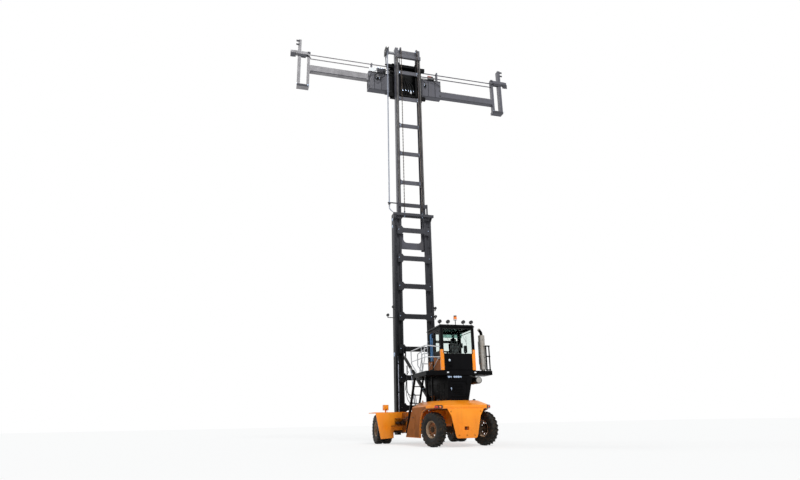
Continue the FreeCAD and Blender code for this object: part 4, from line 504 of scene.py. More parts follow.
# Hard chrome, ground and polished, with patches of grease; its dark grey base is a painted dark reflection that keeps
# the rods dim: grey, with a soft shine
greasedChrome = {"colour": "#4E4C4B", "stainColour": "#332F2C", "stainMm": 260, "stains": 0.8,
                 "roughness": 0.36, "stainRoughness": 0.6, "grainMm": 5, "grainStretch": 6.0, "bump": 0.03,
                 "metallic": 0.45}
cleanChrome = dict(greasedChrome, colour="#C9CBCF", stainColour="#8A8780", stains=0.3, roughness=0.14, metallic=1.0)
# Rolled link plates of a leaf chain, oiled: dark steel with brown oil and bright worn pins
oiledChain = {"colour": "#55493F", "stainColour": "#29241F", "stainMm": 60, "stains": 0.9,
              "roughness": 0.38, "stainRoughness": 0.65, "grainMm": 4, "grainStretch": 1.0, "bump": 0.1,
              "metallic": 0.7}
# Aluminised silencer steel: silver grey, straw and brown where the heat has marked it
silencerSteel = {"colour": "#A09E99", "stainColour": "#86705A", "stainMm": 340, "stains": 0.45,
                 "roughness": 0.32, "stainRoughness": 0.5, "grainMm": 4, "grainStretch": 0.2, "bump": 0.04,
                 "metallic": 0.55}
# Zinc-plated steel fittings: bright, slightly blue
zincPlate = {"colour": "#B4C6DE", "stainColour": "#7C8CA4", "stainMm": 40, "stains": 0.4,
             "roughness": 0.25, "stainRoughness": 0.45, "grainMm": 3, "grainStretch": 1.0, "bump": 0.05,
             "metallic": 0.85}


def clearFinish(tree, place, setup):  # see-through sheet with a haze of dust
    colour, rough = addTones(tree, place, setup["hazeMm"], 5.0, None, (setup["colour"], setup["hazeColour"]),
                             (0.4, 0.75, setup["roughness"], setup["hazeRoughness"]))
    return {"IOR": setup["ior"], "Transmission Weight": setup["clear"]}, colour, rough, None


# Toughened float glass, faintly green, with a little dust
windowGlass = {"colour": "#F5FAF8", "hazeColour": "#E9F1EE", "hazeMm": 400, "roughness": 0.0,
               "hazeRoughness": 0.01, "ior": 1.06, "clear": 1.0}
# the same in blue, letting little light through: the blue is a painted reflection on the door glass
doorGlassPaintedReflection = dict(windowGlass, colour="#6CA4D6", hazeColour="#5A90C4", clear=0.3)
blindFilm = dict(windowGlass, colour="#8FB5AC", hazeColour="#7EA59C", roughness=0.25, ior=1.1)


def mouldedFinish(tree, place, setup):  # moulded plastic with its grain
    colour, rough = addTones(tree, place, setup["toneMm"], 4.0, None, (setup["colour"], setup["worn"]),
                             (0.3, 0.7, setup["roughness"] - 0.06, setup["roughness"] + 0.1))
    grain = addNode(tree, "TexVoronoi", {"Scale": patternScale(setup["grainMm"])}, {"Vector": (place, "Object")})
    return {"IOR": 1.5, "Sheen Weight": setup["sheen"]}, colour, rough, (grain, setup["bump"], 0.001)


# Moulded ABS with a fine spark-eroded grain
mouldedPlastic = {"colour": "#17181A", "worn": "#26272A", "toneMm": 120, "roughness": 0.5, "grainMm": 3,
                  "bump": 0.15, "sheen": 0.0}
lampHousing = dict(mouldedPlastic, colour="#0F0F10", worn="#1C1C1E", roughness=0.35, bump=0.05)
whitePlastic = dict(mouldedPlastic, colour="#E9ECEE", worn="#D3D8DC", roughness=0.4)
# Moulded acrylic lenses, fluted inside: glossy, coloured through, bright against their dark housings
clearLens = dict(mouldedPlastic, colour="#C4D0DA", worn="#9FACB8", toneMm=30, roughness=0.1, grainMm=12,
                 bump=0.3)
amberLens = dict(clearLens, colour="#FF8A1C", worn="#E8700E")
redLens = dict(clearLens, colour="#E0241A", worn="#B01510")


def wovenFinish(tree, place, setup):  # plain weave: two sets of threads crossing
    threads = [addNode(tree, "TexWave", {"Scale": patternScale(setup["threadMm"]) / 2, "Distortion": 0.6,
                                         "Detail Scale": 2.0}, {"Vector": (place, "Object")}, bands_direction=way)
               for way in ("X", "Z")]
    weave = addNode(tree, "Math", links={0: (threads[0], 1), 1: (threads[1], 1)}, operation="MULTIPLY")
    wear = addNode(tree, "TexNoise", {"Scale": patternScale(setup["wearMm"]), "Detail": 5.0},
                   {"Vector": (place, "Object")})
    tone = addNode(tree, "Math", links={0: (weave, 0), 1: (wear, 0)}, operation="MULTIPLY")
    colour = addNode(tree, "Mix", {6: linearColour(setup["colour"]), 7: linearColour(setup["thread"])},
                     {0: (tone, 0)}, data_type="RGBA")
    values = {"Roughness": 0.9, "Sheen Weight": 0.02, "Sheen Roughness": 0.5, "Specular IOR Level": 0.05}
    return values, colour, None, (weave, 0.5, 0.002)


# Woven polyester seat cover; the real thread is 0.5 mm, drawn at 6 mm so that it shows
seatCover = {"colour": "#060608", "thread": "#16181C", "threadMm": 6, "wearMm": 150}

finishRows = {  # each finish with the name of its material
    coatedFinish: {
        "orangeEnamel": ("orangeEnamel", orangeEnamel), "shadedDustyOrange": ("dustyOrangeEnamel", shadedDustyOrange),
        "blackEnamel": ("blackEnamel", blackEnamel), "mastEnamel": ("chalkedBlackEnamel", mastEnamel),
        "greyEnamel": ("greyEnamel", greyEnamel), "litCopyGreyEnamel": ("chalkedGreyEnamel", litCopyGreyEnamel),
        "railEnamel": ("railEnamel", railEnamel), "redEnamel": ("redEnamel", redEnamel),
        "wheelEnamel": ("wheelEnamel", wheelEnamel), "rimDust": ("dustedWheelEnamel", rimDust),
        "castIron": ("castIron", castIron),
    },
    rubberFinish: {
        "tyreRubber": ("tyreRubber", tyreRubber), "treadRubber": ("treadRubber", treadRubber),
        "hoseRubber": ("hoseRubber", hoseRubber), "blackHose": ("blackHoseRubber", blackHose),
        "sealRubber": ("sealRubber", sealRubber),
    },
    metalFinish: {
        "greasedChrome": ("greasedChrome", greasedChrome), "cleanChrome": ("cleanChrome", cleanChrome),
        "oiledChain": ("oiledChainSteel", oiledChain), "silencerSteel": ("aluminisedSteel", silencerSteel),
        "zincPlate": ("zincPlate", zincPlate),
    },
    clearFinish: {
        "windowGlass": ("floatGlass", windowGlass), "doorGlassPaintedReflection": ("blueFilmGlass", doorGlassPaintedReflection),
        "blindFilm": ("sunBlindFilm", blindFilm),
    },
    mouldedFinish: {
        "clearLens": ("clearAcrylic", clearLens), "amberLens": ("amberAcrylic", amberLens),
        "redLens": ("redAcrylic", redLens), "mouldedPlastic": ("mouldedPlastic", mouldedPlastic),
        "lampHousing": ("lampHousingPlastic", lampHousing), "whitePlastic": ("whitePlastic", whitePlastic),
    },
    wovenFinish: {"seatCover": ("wovenSeatCover", seatCover)},
}
finishes = {}
for build, rows in finishRows.items():
    for key, (name, setup) in rows.items():
        material = bpy.data.materials.new(name)
        tree = startTree(material)
        values, colour, rough, relief = build(tree, addNode(tree, "TexCoord"), setup)
        links = {"Base Color": (colour, 2)}
        if rough:
            links["Roughness"] = (rough, 0)
        if relief:
            height, strength, distance = relief
            bump = addNode(tree, "Bump", {"Strength": strength, "Distance": distance}, {"Height": (height, 0)})
            links["Normal"] = (bump, 0)
        shader = addNode(tree, "BsdfPrincipled", values, links)
        addNode(tree, "OutputMaterial", links={0: (shader, 0)})
        finishes[key] = material
slotFinish = {
    "yellow_enamel": "orangeEnamel", "black_enamel": "blackEnamel", "grey_enamel": "litCopyGreyEnamel",
    "rail_paint": "railEnamel", "tyre_rubber": "tyreRubber", "rim_enamel": "wheelEnamel",
    # the rods take the chrome whose dark grey base is a painted reflection
    "axle_iron": "castIron", "rod_chrome": "greasedChrome", "chain_steel": "oiledChain",
    "hose_rubber": "hoseRubber", "silencer_steel": "silencerSteel", "window_glass": "windowGlass",
    "seat_fabric": "seatCover", "trim_plastic": "mouldedPlastic", "lamp_plastic": "lampHousing",
    "engine_iron": "castIron",
}
ownFinish = {  # nodes whose making, wear, painted light or painted shade differs from the rest of their slot
    "mastEnamel": ("outer_uprights", "outer_crossbeams", "lift_barrels", "mast_fittings", "tilt_lugs"),
    # the right spreader arm takes the darker grey as painted shade, against the left arm's paler lit copy
    "greyEnamel": ("inner_uprights", "inner_crossbeams", "mast_head", "spreader_centre", "spreader_arm_right"),
    "blackEnamel": ("cab_door", "shift_frame", "carriage_frame", "housing_hatch"),
    # the door glass carries the blue painted reflection
    "doorGlassPaintedReflection": ("door_glass",), "lampHousing": ("air_cleaner",),
}
nodeFinish = {node: finish for finish, nodes in ownFinish.items() for node in nodes}
for part in frame["record"]["subparts"]:
    data = frame["nodes"][part["node"]].data
    data.materials.clear()
    data.materials.append(finishes[nodeFinish.get(part["node"], slotFinish[part["material_slot"]])])
print("finishes set")


# Wheels

tyreSetup = {
    "radius": 0.613, "groove": 0.034, "width": 0.315, "bead": 0.305, "pitches": 24, "skew": 0.16,
    "lug": 0.56, "segments": 72,
}
rimSetup = {
    "bead": 0.3047, "halfWidth": 0.12, "well": 0.268, "handHoles": 10, "holeRadius": 0.030,
    "holeCircle": 0.205, "nuts": 10, "nutCircle": 0.142, "nutSize": 0.019,
}


def addTyre(shape, centre, outward, setup, mirror):  # carcass, shoulder lugs and sidewall rings
    half, top = setup["width"] / 2, setup["radius"]
    base, bead = top - setup["groove"], setup["bead"]
    side = [(0.76, bead), (0.80, bead + 0.012), (0.86, bead + 0.035), (0.955, bead + 0.075),
            (0.962, bead + 0.082), (0.985, bead + 0.088), (1.0, bead + 0.125), (0.998, bead + 0.165),
            (0.985, bead + 0.20), (0.99, bead + 0.205), (0.975, bead + 0.215), (0.93, bead + 0.245),
            (0.86, base - 0.014), (0.72, base - 0.003), (0.35, base)]
    profile = [(-half * a, r) for a, r in side] + [(half * a, r) for a, r in reversed(side)]
    addTurned(shape, profile, centre, outward, setup["segments"], 1)
    turn, centre = turnTo(outward), Vector(centre)
    step = 2 * math.pi / setup["pitches"]
    crown = [(0.07, top), (0.45, top - 0.001), (0.84, top - 0.010), (0.975, top - 0.040),
             (1.0, top - 0.083)]
    for row in (-1, 1):
        for i in range(setup["pitches"]):
            start = step * (i + (0.5 if row > 0 else 0.0))
            points = []
            for share, radius in crown:
                lean = setup["skew"] * (1 - share) * mirror
                wide = step * setup["lug"] * (0.5 + 0.13 * share)
                for edge, depth, scale in ((-1, 0.0, 0.82), (1, 0.0, 0.82), (1, 0.03, 1.0),
                                           (-1, 0.03, 1.0)):
                    reach = half * share * (1 - (0.06 if depth and share > 0.9 else 0.0))
                    points.append(turnedPoint(centre, turn, row * reach, radius - depth,
                                              start + lean + edge * wide * scale / 2))
            faces = []
            for k in range(len(crown) - 1):
                a, b = 4 * k, 4 * (k + 1)
                faces += [[a, a + 1, b + 1, b], [a + 1, a + 2, b + 2, b + 1], [a + 3, a, b, b + 3]]
            last = 4 * (len(crown) - 1)
            faces += [[0, 1, 2, 3], [last, last + 1, last + 2, last + 3],
                      [3, 2, last + 2, last + 3]]
            addFaces(shape, points, faces)


def addDisc(shape, centre, outward, inner, outer, thick, dish, setup, paint):  # pressed disc, hand holes
    turn, centre = turnTo(outward), Vector(centre)
    count, cells = setup["handHoles"], 16
    ring, hole = setup["holeCircle"], setup["holeRadius"]
    step = 2 * math.pi / count
    low, high = ring - 0.045, ring + 0.045

    def level(radius):
        return dish * (1 - ((radius - inner) / (outer - inner)) ** 2)

    for i in range(count):
        middle = step * i
        cell, rim = [], []
        for k in range(cells):
            angle = 2 * math.pi * k / cells + math.pi / cells
            u, v = math.cos(angle), math.sin(angle)
            big = max(abs(u), abs(v))
            cell.append((ring + u / big * 0.045, middle + v / big * step / 2))
            rim.append((ring + u * hole, middle + v * hole / ring))
        points = []
        for back in (0, thick):
            for outline in (cell, rim):
                points += [turnedPoint(centre, turn, level(r) - back, r, a) for r, a in outline]
        faces = []
        for k in range(cells):
            n = (k + 1) % cells
            faces += [[k, n, cells + n, cells + k], [2 * cells + k, 2 * cells + n, 3 * cells + n, 3 * cells + k],
                      [cells + k, cells + n, 3 * cells + n, 3 * cells + k]]
        addFaces(shape, points, faces, paint, True)
    for a, b in ((inner, low), (high, outer)):
        addTurned(shape, [(level(a), a), (level((a + b) / 2), (a + b) / 2), (level(b), b)],
                  centre, outward, 80, paint)
        addTurned(shape, [(level(b) - thick, b), (level(a) - thick, a)], centre, outward, 80, paint)


def addRim(shape, centre, outward, discPlace, dish, setup):  # well, flanges, lock ring and disc
    bead, half, well = setup["bead"], setup["halfWidth"], setup["well"]
    profile = [(-half, bead), (-half + 0.012, bead - 0.004), (-half + 0.02, bead - 0.02),
               (-0.03, well), (0.05, well), (half - 0.035, bead - 0.02), (half - 0.02, bead - 0.006),
               (half - 0.012, bead), (half, bead - 0.002), (half, bead - 0.012), (half - 0.016, bead - 0.016),
               (half - 0.022, bead - 0.036), (0.05, well - 0.012), (-0.03, well - 0.012),
               (-half + 0.02, bead - 0.034), (-half, bead - 0.014), (-half, bead)]
    addTurned(shape, profile, centre, outward, 80)
    spot = Vector(centre) + Vector(outward) * discPlace
    addDisc(shape, spot, outward, 0.10, well - 0.006, 0.014, dish, setup, 2)
    return spot


def addNuts(shape, spot, outward, setup):
    size = setup["nutSize"]
    for i in range(setup["nuts"]):
        place = turnedPoint(spot, turnTo(outward), 0, setup["nutCircle"], 2 * math.pi * (i + 0.5) / setup["nuts"])
        addTurned(shape, [(0, size), (0.012, size * 0.95), (0.012, 0.011), (0.034, 0.011), (0.037, 0)],
                  place, outward, 12, 1)


def addHubBolts(shape, spot, outward, count, height, circle, size):
    for i in range(count):
        addBolt(shape, turnedPoint(spot, turnTo(outward), height, circle, 2 * math.pi * i / count), outward, size, 1)


def finishWheel(name, tyre, rim, body, tyreNode, rimNode, tyreName, rimName):
    finishPiece(f"{tyreName}_{name}", tyre, ["treadRubber", "tyreRubber"], body, [tyreNode])
    finishPiece(f"{rimName}_{name}", rim, ["rimDust", "castIron", "wheelEnamel"], body, [rimNode])


def makeFrontWheels(side, name):
    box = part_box(f"front_{name}_tyres")
    half = tyreSetup["width"] / 2
    ends = sorted((abs(box[0][0]), abs(box[1][0])))
    across = (ends[1] - half, ends[0] + half)
    axleY, axleZ = (box[0][1] + box[1][1]) / 2, (box[0][2] + box[1][2]) / 2
    outward = (side, 0, 0)
    tyres, rims = newShape(), newShape()
    for place in across:
        addTyre(tyres, (side * place, axleY, axleZ), outward, tyreSetup, side)
    outer = (side * across[0], axleY, axleZ)
    spot = addRim(rims, outer, outward, -0.055, 0.045, rimSetup)
    addRim(rims, (side * across[1], axleY, axleZ), (-side, 0, 0), -0.06, -0.04, rimSetup)
    root = abs(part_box(f"front_{name}_rims")[0 if side > 0 else 1][0])
    length = abs(spot.x) - root
    hub = [(0, 0), (0, 0.15), (0.03, 0.15), (0.04, 0.135), (length - 0.05, 0.135), (length - 0.04, 0.15),
           (length - 0.002, 0.15), (length, 0.118), (length + 0.075, 0.112), (length + 0.08, 0.095),
           (length + 0.088, 0.092), (length + 0.098, 0.06), (length + 0.104, 0)]
    addTurned(rims, hub, (side * root, axleY, axleZ), outward, 48, 1)
    addHubBolts(rims, spot, outward, 8, 0.078, 0.078, 0.008)
    addNuts(rims, spot + Vector(outward) * 0.035, outward, rimSetup)
    finishWheel(name, tyres, rims, f"front_wheel_{name}", f"front_{name}_tyres", f"front_{name}_rims", "driveTyres",
                "driveRims")


def makeRearWheel(side, name):
    joint = joints[f"rear_wheel_{name}_spin"]
    centre, axis = Vector(joint["pos_m"]), Vector(joint["axis"]).normalized()
    outward = axis if axis.x * side > 0 else -axis
    low, high = (Vector(corner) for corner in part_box(f"rear_{name}_tyre"))
    centre = centre + outward * ((low + high) / 2 - centre).dot(outward)  # the tyre stands out from its joint
    tyre, rim = newShape(), newShape()
    addTyre(tyre, centre, outward, tyreSetup, side)
    spot = addRim(rim, centre, outward, 0.018, 0.03, rimSetup)
    hub = [(-0.02, 0.150), (0.005, 0.150), (0.012, 0.112), (0.055, 0.10), (0.064, 0.078), (0.072, 0.075),
           (0.082, 0.045), (0.086, 0)]
    addTurned(rim, [(-0.115, 0), (-0.115, 0.095)] + hub, spot, outward, 40, 1)
    addNuts(rim, spot + outward * 0.002, outward, rimSetup)
    addHubBolts(rim, spot, outward, 6, 0.066, 0.062, 0.007)
    finishWheel(name, tyre, rim, f"rear_wheel_{name}", f"rear_{name}_tyre", f"rear_{name}_rim", "steerTyre",
                "steerRim")


for side, name in sides:
    makeFrontWheels(side, name)
    makeRearWheel(side, name)
print("wheels made")


# Rear body and fenders

bodySetup = {
    "lampPlace": (0.975, 3.325, 1.388), "lampFacing": (0.756, 0.655, 0.0), "lampLength": 0.34,
    "lampHeight": 0.125, "skin": 0.004, "boltInset": 0.012,
    "shadedSideSkin": [(0.02, 0.32), (1.86, 0.32), (1.905, 0.755), (2.025, 1.06), (2.26, 1.262), (2.72, 1.338),
                 (2.71, 1.425), (1.03, 1.425)],
}


def copyNode(node, name, finish, bevel, change=None):  # the CAD mesh with eased edges
    mesh = frame["nodes"][node].data.copy()
    mesh.name = name
    solid = bmesh.new()
    solid.from_mesh(mesh)
    bmesh.ops.remove_doubles(solid, verts=solid.verts, dist=1e-5)
    if change:
        for vert in solid.verts:
            vert.co = change(vert.co)
    flat, eased = math.radians(degrees["flat"]), math.radians(degrees["eased"])
    bmesh.ops.dissolve_limit(solid, angle_limit=flat, verts=solid.verts, edges=solid.edges)
    sharp = [edge for edge in solid.edges if len(edge.link_faces) == 2 and edge.calc_face_angle(0) > eased]
    bmesh.ops.bevel(solid, geom=sharp, offset=bevel, segments=2, profile=0.5, affect="EDGES", clamp_overlap=True)
    solid.to_mesh(mesh)
    solid.free()
    mesh.materials.clear()
    mesh.materials.append(finishes[finish])
    mesh.set_sharp_from_angle(angle=math.radians(degrees["copiedSharp"]))
    piece = bpy.data.objects.new(name, mesh)
    bpy.context.scene.collection.objects.link(piece)
    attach(piece, "chassis")
    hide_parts(node)


def makeTailLamps(setup):
    for side, name in sides:
        shape = newShape()
        middle, facing = (Vector((side * x, y, z)) for x, y, z in (setup["lampPlace"], setup["lampFacing"]))
        along = Vector((-facing.y, facing.x, 0))
        turn = Matrix((along, facing, Vector(skyward))).transposed()
        half, tall = setup["lampLength"] / 2, setup["lampHeight"] / 2
        for width, height, near, far, paint in ((half, tall, -0.02, 0.02, 0),
                                                (half - 0.02, tall - 0.016, 0.018, 0.026, 1)):
            outline = roundOutline(box4((-width, -height), (width, height)), tall * 0.95, 5)
            points, count = [], len(outline)
            for ring, level in ((outline, near), (outline, far - 0.005), (insetOutline(outline, 0.004), far)):
                points += [middle + turn @ Vector((u, level, v)) for u, v in ring]
            addFaces(shape, points, ringFaces(3, count) + [[2 * count + i for i in range(count)]], paint)
        for share, size, paint in ((0.48, 0.033, 2), (-0.30, 0.03, 3), (-0.74, 0.03, 3)):
            addTurned(shape, [(0, size + 0.006), (0.008, size + 0.006), (0.008, size), (0.014, size * 0.85),
                              (0.018, size * 0.5), (0.02, 0)],
                      middle + along * (half * share * side) + facing * 0.02, facing, 24, paint)
        finishPiece(f"tailLamps_{name}", shape, ["lampHousing", "lampHousing", "amberLens", "redLens"],
                    "chassis")


def makeShadedSideSkins(setup):  # outer face of the side panel, a plate in the painted-shade orange, with its seal, handles and steps
    face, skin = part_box("rear_deck")[1][0], setup["skin"]
    for side, name in sides:
        shape = newShape()
        addPlate(shape, setup["shadedSideSkin"], "x", side * face, side * (face + skin), 0.002)
        edge = ((1.90, 1.06), (2.20, 1.24), (2.66, 1.325))
        for (y0, z0), (y1, z1) in zip(edge, edge[1:]):
            addRod(shape, (side * (face - 0.03), y0, z0 - 0.018), (side * (face - 0.03), y1, z1 - 0.018), 0.014, 8,
                   paint=1)
        for y in (0.42, 0.86, 1.30, 1.74):
            for shift, z in ((0, 0.42), (0.75, 1.34)):
                addBolt(shape, (side * (face + skin), y + shift, z), (side, 0, 0))
        lid = roundOutline([(0.55, 0.62), (1.25, 0.62), (1.42, 1.18), (0.85, 1.18)], 0.04, 3)
        addPlate(shape, lid, "x", side * (face + skin), side * (face + 0.012))
        addPipe(shape, [(side * (face + out), y, 1.05) for out, y in
                        ((0.01, 1.02), (0.05, 1.02), (0.05, 1.18), (0.01, 1.18))], 0.02, 4, 0.008, 8, 2)
        # the skin plate takes the darker orange: painted shade on the side panel
        finishPiece(f"shadedSideSkin_{name}", shape, ["shadedDustyOrange", "sealRubber", "mouldedPlastic"], "chassis")
        # a dark strip along the deck's upper edge
        seal = newShape()
        edge = [(1.272, 2.30), (1.272, 2.722), (1.104, 3.182), (0.99, 3.315)]
        for (x0, y0), (x1, y1) in zip(edge, edge[1:]):
            addRod(seal, (side * x0, y0, 1.336), (side * x1, y1, 1.336), 0.011, 8)
        finishPiece(f"deckEdgeDarkStrip_{name}", seal, ["sealRubber"], "chassis")


def makeDeckTop():  # covers, filler caps, eyes and anti-slip strips on the rear deck
    shape = newShape()
    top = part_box("rear_deck")[1][2]
    for side in (1, -1):
        addPlate(shape, roundOutline(box4((side * 0.58, 1.30), (side * 0.86, 2.35)), 0.03, 3), "z",
                 top - 0.002, top + 0.010)
        for y in (1.42, 1.82, 2.22):
            for x in (0.60, 0.84):
                addBolt(shape, (side * x, y, top + 0.010), skyward, 0.011, 1)
        addPipe(shape, [(side * 0.72, y, top + rise) for y, rise in
                        ((1.74, 0.005), (1.74, 0.05), (1.90, 0.05), (1.90, 0.005))], 0.02, 4, 0.008, 8, 1)
        x, y = side * 0.70, 0.62
        addTurned(shape, [(-0.012, 0.03), (-0.012, 0.055), (0.012, 0.055), (0.012, 0.03), (-0.012, 0.03)],
                  (x, y, top + 0.045), leftward, 24)
        addBlock(shape, (x - 0.012, y - 0.05, top - 0.005), (x + 0.012, y + 0.05, top + 0.012), 0.003)
        addBlocks(shape, [((side * 0.79 - 0.10, 0.66 + i * 0.065, top - 0.001),
                           (side * 0.79 + 0.10, 0.69 + i * 0.065, top + 0.006)) for i in range(9)], 0.002, 2)
    addTurned(shape, [(0, 0.075), (0.02, 0.075), (0.022, 0.062), (0.05, 0.062), (0.056, 0.054), (0.058, 0)],
              (0.72, 2.62, top), skyward, 28, 1)
    addTurned(shape, [(0, 0.06), (0.03, 0.06), (0.034, 0.05), (0.06, 0.045), (0.064, 0)],
              (-0.72, 2.62, top), skyward, 28, 1)
    finishPiece("deckTop", shape, ["orangeEnamel", "lampHousing", "blackEnamel"], "chassis")


def makeFenderParts():  # headlamps, entry steps and brake parts by the drive wheels
    lampFront, lampRear = -1.71, -1.55
    for side, name in sides:
        shape = newShape()
        x, z = side * 1.70, 1.51
        addTurned(shape, [(-0.002, 0.105), (0.012, 0.105), (0.018, 0.098), (0.018, 0.088)], (x, lampFront, z), forward)
        addTurned(shape, [(0.006, 0.09), (0.018, 0.075), (0.024, 0.04), (0.026, 0)], (x, lampFront, z), forward, 32, 1)
        for dx in (-0.095, 0.095):
            for dz in (-0.095, 0.095):
                addBolt(shape, (x + dx, lampRear, z + dz), rearward, 0.008, 2)
        addTurned(shape, [(0, 0.022), (0.03, 0.022), (0.032, 0.012), (0.05, 0.010)], (x, lampRear, 1.44), rearward, 14,
                  3)
        addPipe(shape, [(x, lampRear + 0.03, 1.44), (x, -1.46, 1.42), (x - side * 0.02, -1.42, 1.34),
                        (x - side * 0.02, -1.40, 1.305)], 0.04, 5, 0.008, 8, 3)
        finishPiece(f"headlamp_{name}", shape, ["lampHousing", "clearLens", "castIron", "blackHose"], "chassis")
        steps = newShape()
        # the steps and the side plate take the darker orange: painted shade
        for z, reach in ((0.72, 0.55), (1.02, 0.38)):
            addPlate(steps, [(side * 1.02, -1.225), (side * (1.02 + reach), -1.225), (side * (1.02 + reach), -0.80),
                             (side * 1.02, -0.62)], "z", z, z + 0.03, 0.004)
            for i in range(6):
                y = -1.17 + i * 0.062
                addBlock(steps, (side * 1.06, y, z + 0.029), (side * (0.98 + reach), y + 0.022, z + 0.036), 0.002)
        addPlate(steps, [(-1.235, 0.42), (-0.70, 0.62), (-0.56, 1.28), (-1.235, 1.28)], "x", side * 1.03, side * 1.055)
        for x, front, rear, radius in ((1.16, -1.05, -0.70, 0.075), (1.34, -1.15, -0.86, 0.06)):
            addRod(steps, (side * x, front, 0.86), (side * x, rear, 0.86), radius, 24, 0.012, 1)
        for k, x in enumerate((1.12, 1.17, 1.22)):
            addPipe(steps, [(side * x, -0.70, 0.88), (side * x, -0.45, 0.90 + 0.05 * k),
                            (side * (x - 0.02), -0.12, 1.06), (side * (x - 0.06), 0.06, 1.12)], 0.12, 5, 0.012, 8, 2)
        finishPiece(f"entrySteps_{name}", steps, ["shadedDustyOrange", "castIron", "blackHose"], "chassis")


def makeCounterweight(setup):  # cast slab with an eased rim, bolts and a worn tow pin
    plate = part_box("counterweight")[1][1]
    inset = setup["boltInset"]

    def draw(place):
        return Vector((place.x, place.y - inset if place.y > plate - 0.02 else place.y, place.z))

    copyNode("counterweight", "counterweightCasting", "orangeEnamel", 0.010, draw)
    shape = newShape()
    for x, z in ((-0.58, 1.22), (0.58, 1.22), (-0.47, 0.42), (0.0, 0.40), (0.30, 0.40), (-0.30, 0.40), (0.47, 0.42)):
        addTurned(shape, [(-0.006, 0.026), (0.002, 0.026), (0.002, 0.018), (-0.004, 0.016), (-0.004, 0)],
                  (x, plate - inset, z), rearward, 20)
    for low, radius in ((0.50, 0.0245), (0.785, 0.034)):
        addRod(shape, (0, 3.44, low), (0, 3.44, 0.80), radius, 20, 0.003, 1)
    finishPiece("counterweightBolts", shape, ["blackEnamel", "castIron"], "chassis")


makeTailLamps(bodySetup)
makeShadedSideSkins(bodySetup)
makeDeckTop()
makeFenderParts()
makeCounterweight(bodySetup)
copyNode("rear_deck", "rearDeckPlates", "orangeEnamel", 0.008)
copyNode("front_fenders", "fenderPlates", "orangeEnamel", 0.005)
print("rear body made")


# Engine housing, silencer and air cleaner

housingSetup = {"left": 0.475, "louvres": 9, "louvreLow": 1.78, "louvreRise": 0.058, "slatDeep": 0.018}


def makeHousingParts(setup):
    shape = newShape()
    left, low = setup["left"], setup["louvreLow"]
    for front, rear in ((0.55, 1.15), (1.30, 1.90), (2.05, 2.65)):
        levels = [low + i * setup["louvreRise"] for i in range(setup["louvres"])]
        addBlocks(shape, [((left - 0.002, front + 0.05, z), (left + setup["slatDeep"], rear - 0.05, z + 0.010))
                          for z in levels], 0.002, 0, Matrix.Rotation(math.radians(-28), 3, "Y"))
        frameBar = box4((front, low - 0.05), (rear, low + 0.52))
        for a, b in zip(frameBar, frameBar[1:] + frameBar[:1]):
            addRod(shape, (left + 0.004, *a), (left + 0.004, *b), 0.010, 6)
        addTurned(shape, [(0, 0.022), (0.012, 0.022), (0.014, 0.010), (0.022, 0.008), (0.022, 0)],
                  (left, rear - 0.03, 2.02), leftward, 16, 1)
    for y in (0.34, 0.62, 1.0, 1.4, 1.8, 2.2, 2.6, 2.92):
        addBolt(shape, (left + 0.02, y, 1.624), skyward, 0.011)
    for x in (-0.33, 0.44):
        for z in (1.70, 1.98, 2.26):
            addBolt(shape, (x, 3.000, z), rearward, 0.009)
    for x, size in ((0.43, 0.034), (0.35, 0.026), (0.20, 0.034), (0.12, 0.030), (0.04, 0.036), (-0.05, 0.026)):
        addTurned(shape, [(0, size), (0.018, size), (0.020, size * 0.8), (0.052, size * 0.8), (0.056, size * 1.05),
                          (0.076, size * 1.05), (0.080, size * 0.6), (0.082, 0)],
                  (x, 3.0, 2.482), (0, 1, -0.12), 14, 2)
        addPipe(shape, [(x, 3.03, 2.53), (x, 3.055, 2.545), (x - 0.03, 3.05, 2.50)], 0.02, 5, 0.006, 6, 3)
    addBlock(shape, (-0.10, 2.998, 2.445), (0.47, 3.012, 2.53), 0.003)
    finishPiece("housingParts", shape, ["blackEnamel", "mouldedPlastic", "zincPlate", "blackHose"], "chassis")
    leaf = newShape()
    addBlocks(leaf, [((-0.24, 3.030, z), (0.34, 3.046, z + 0.03)) for z in (1.76, 2.33)], 0.003)
    addBlocks(leaf, [((-0.16, 3.030, 1.87 + i * 0.055), (0.26, 3.050, 1.882 + i * 0.055)) for i in range(7)], 0.002, 0,
              Matrix.Rotation(math.radians(24), 3, "X"))
    addTurned(leaf, [(0, 0.026), (0.012, 0.026), (0.014, 0.014), (0.03, 0.012), (0.03, 0)], (0.345, 3.034, 2.06),
              rearward, 18, 1)
    addBlock(leaf, (0.335, 3.058, 1.99), (0.355, 3.070, 2.075), 0.003, 1)
    finishPiece("hatchParts", leaf, ["blackEnamel", "zincPlate"], "hatch")


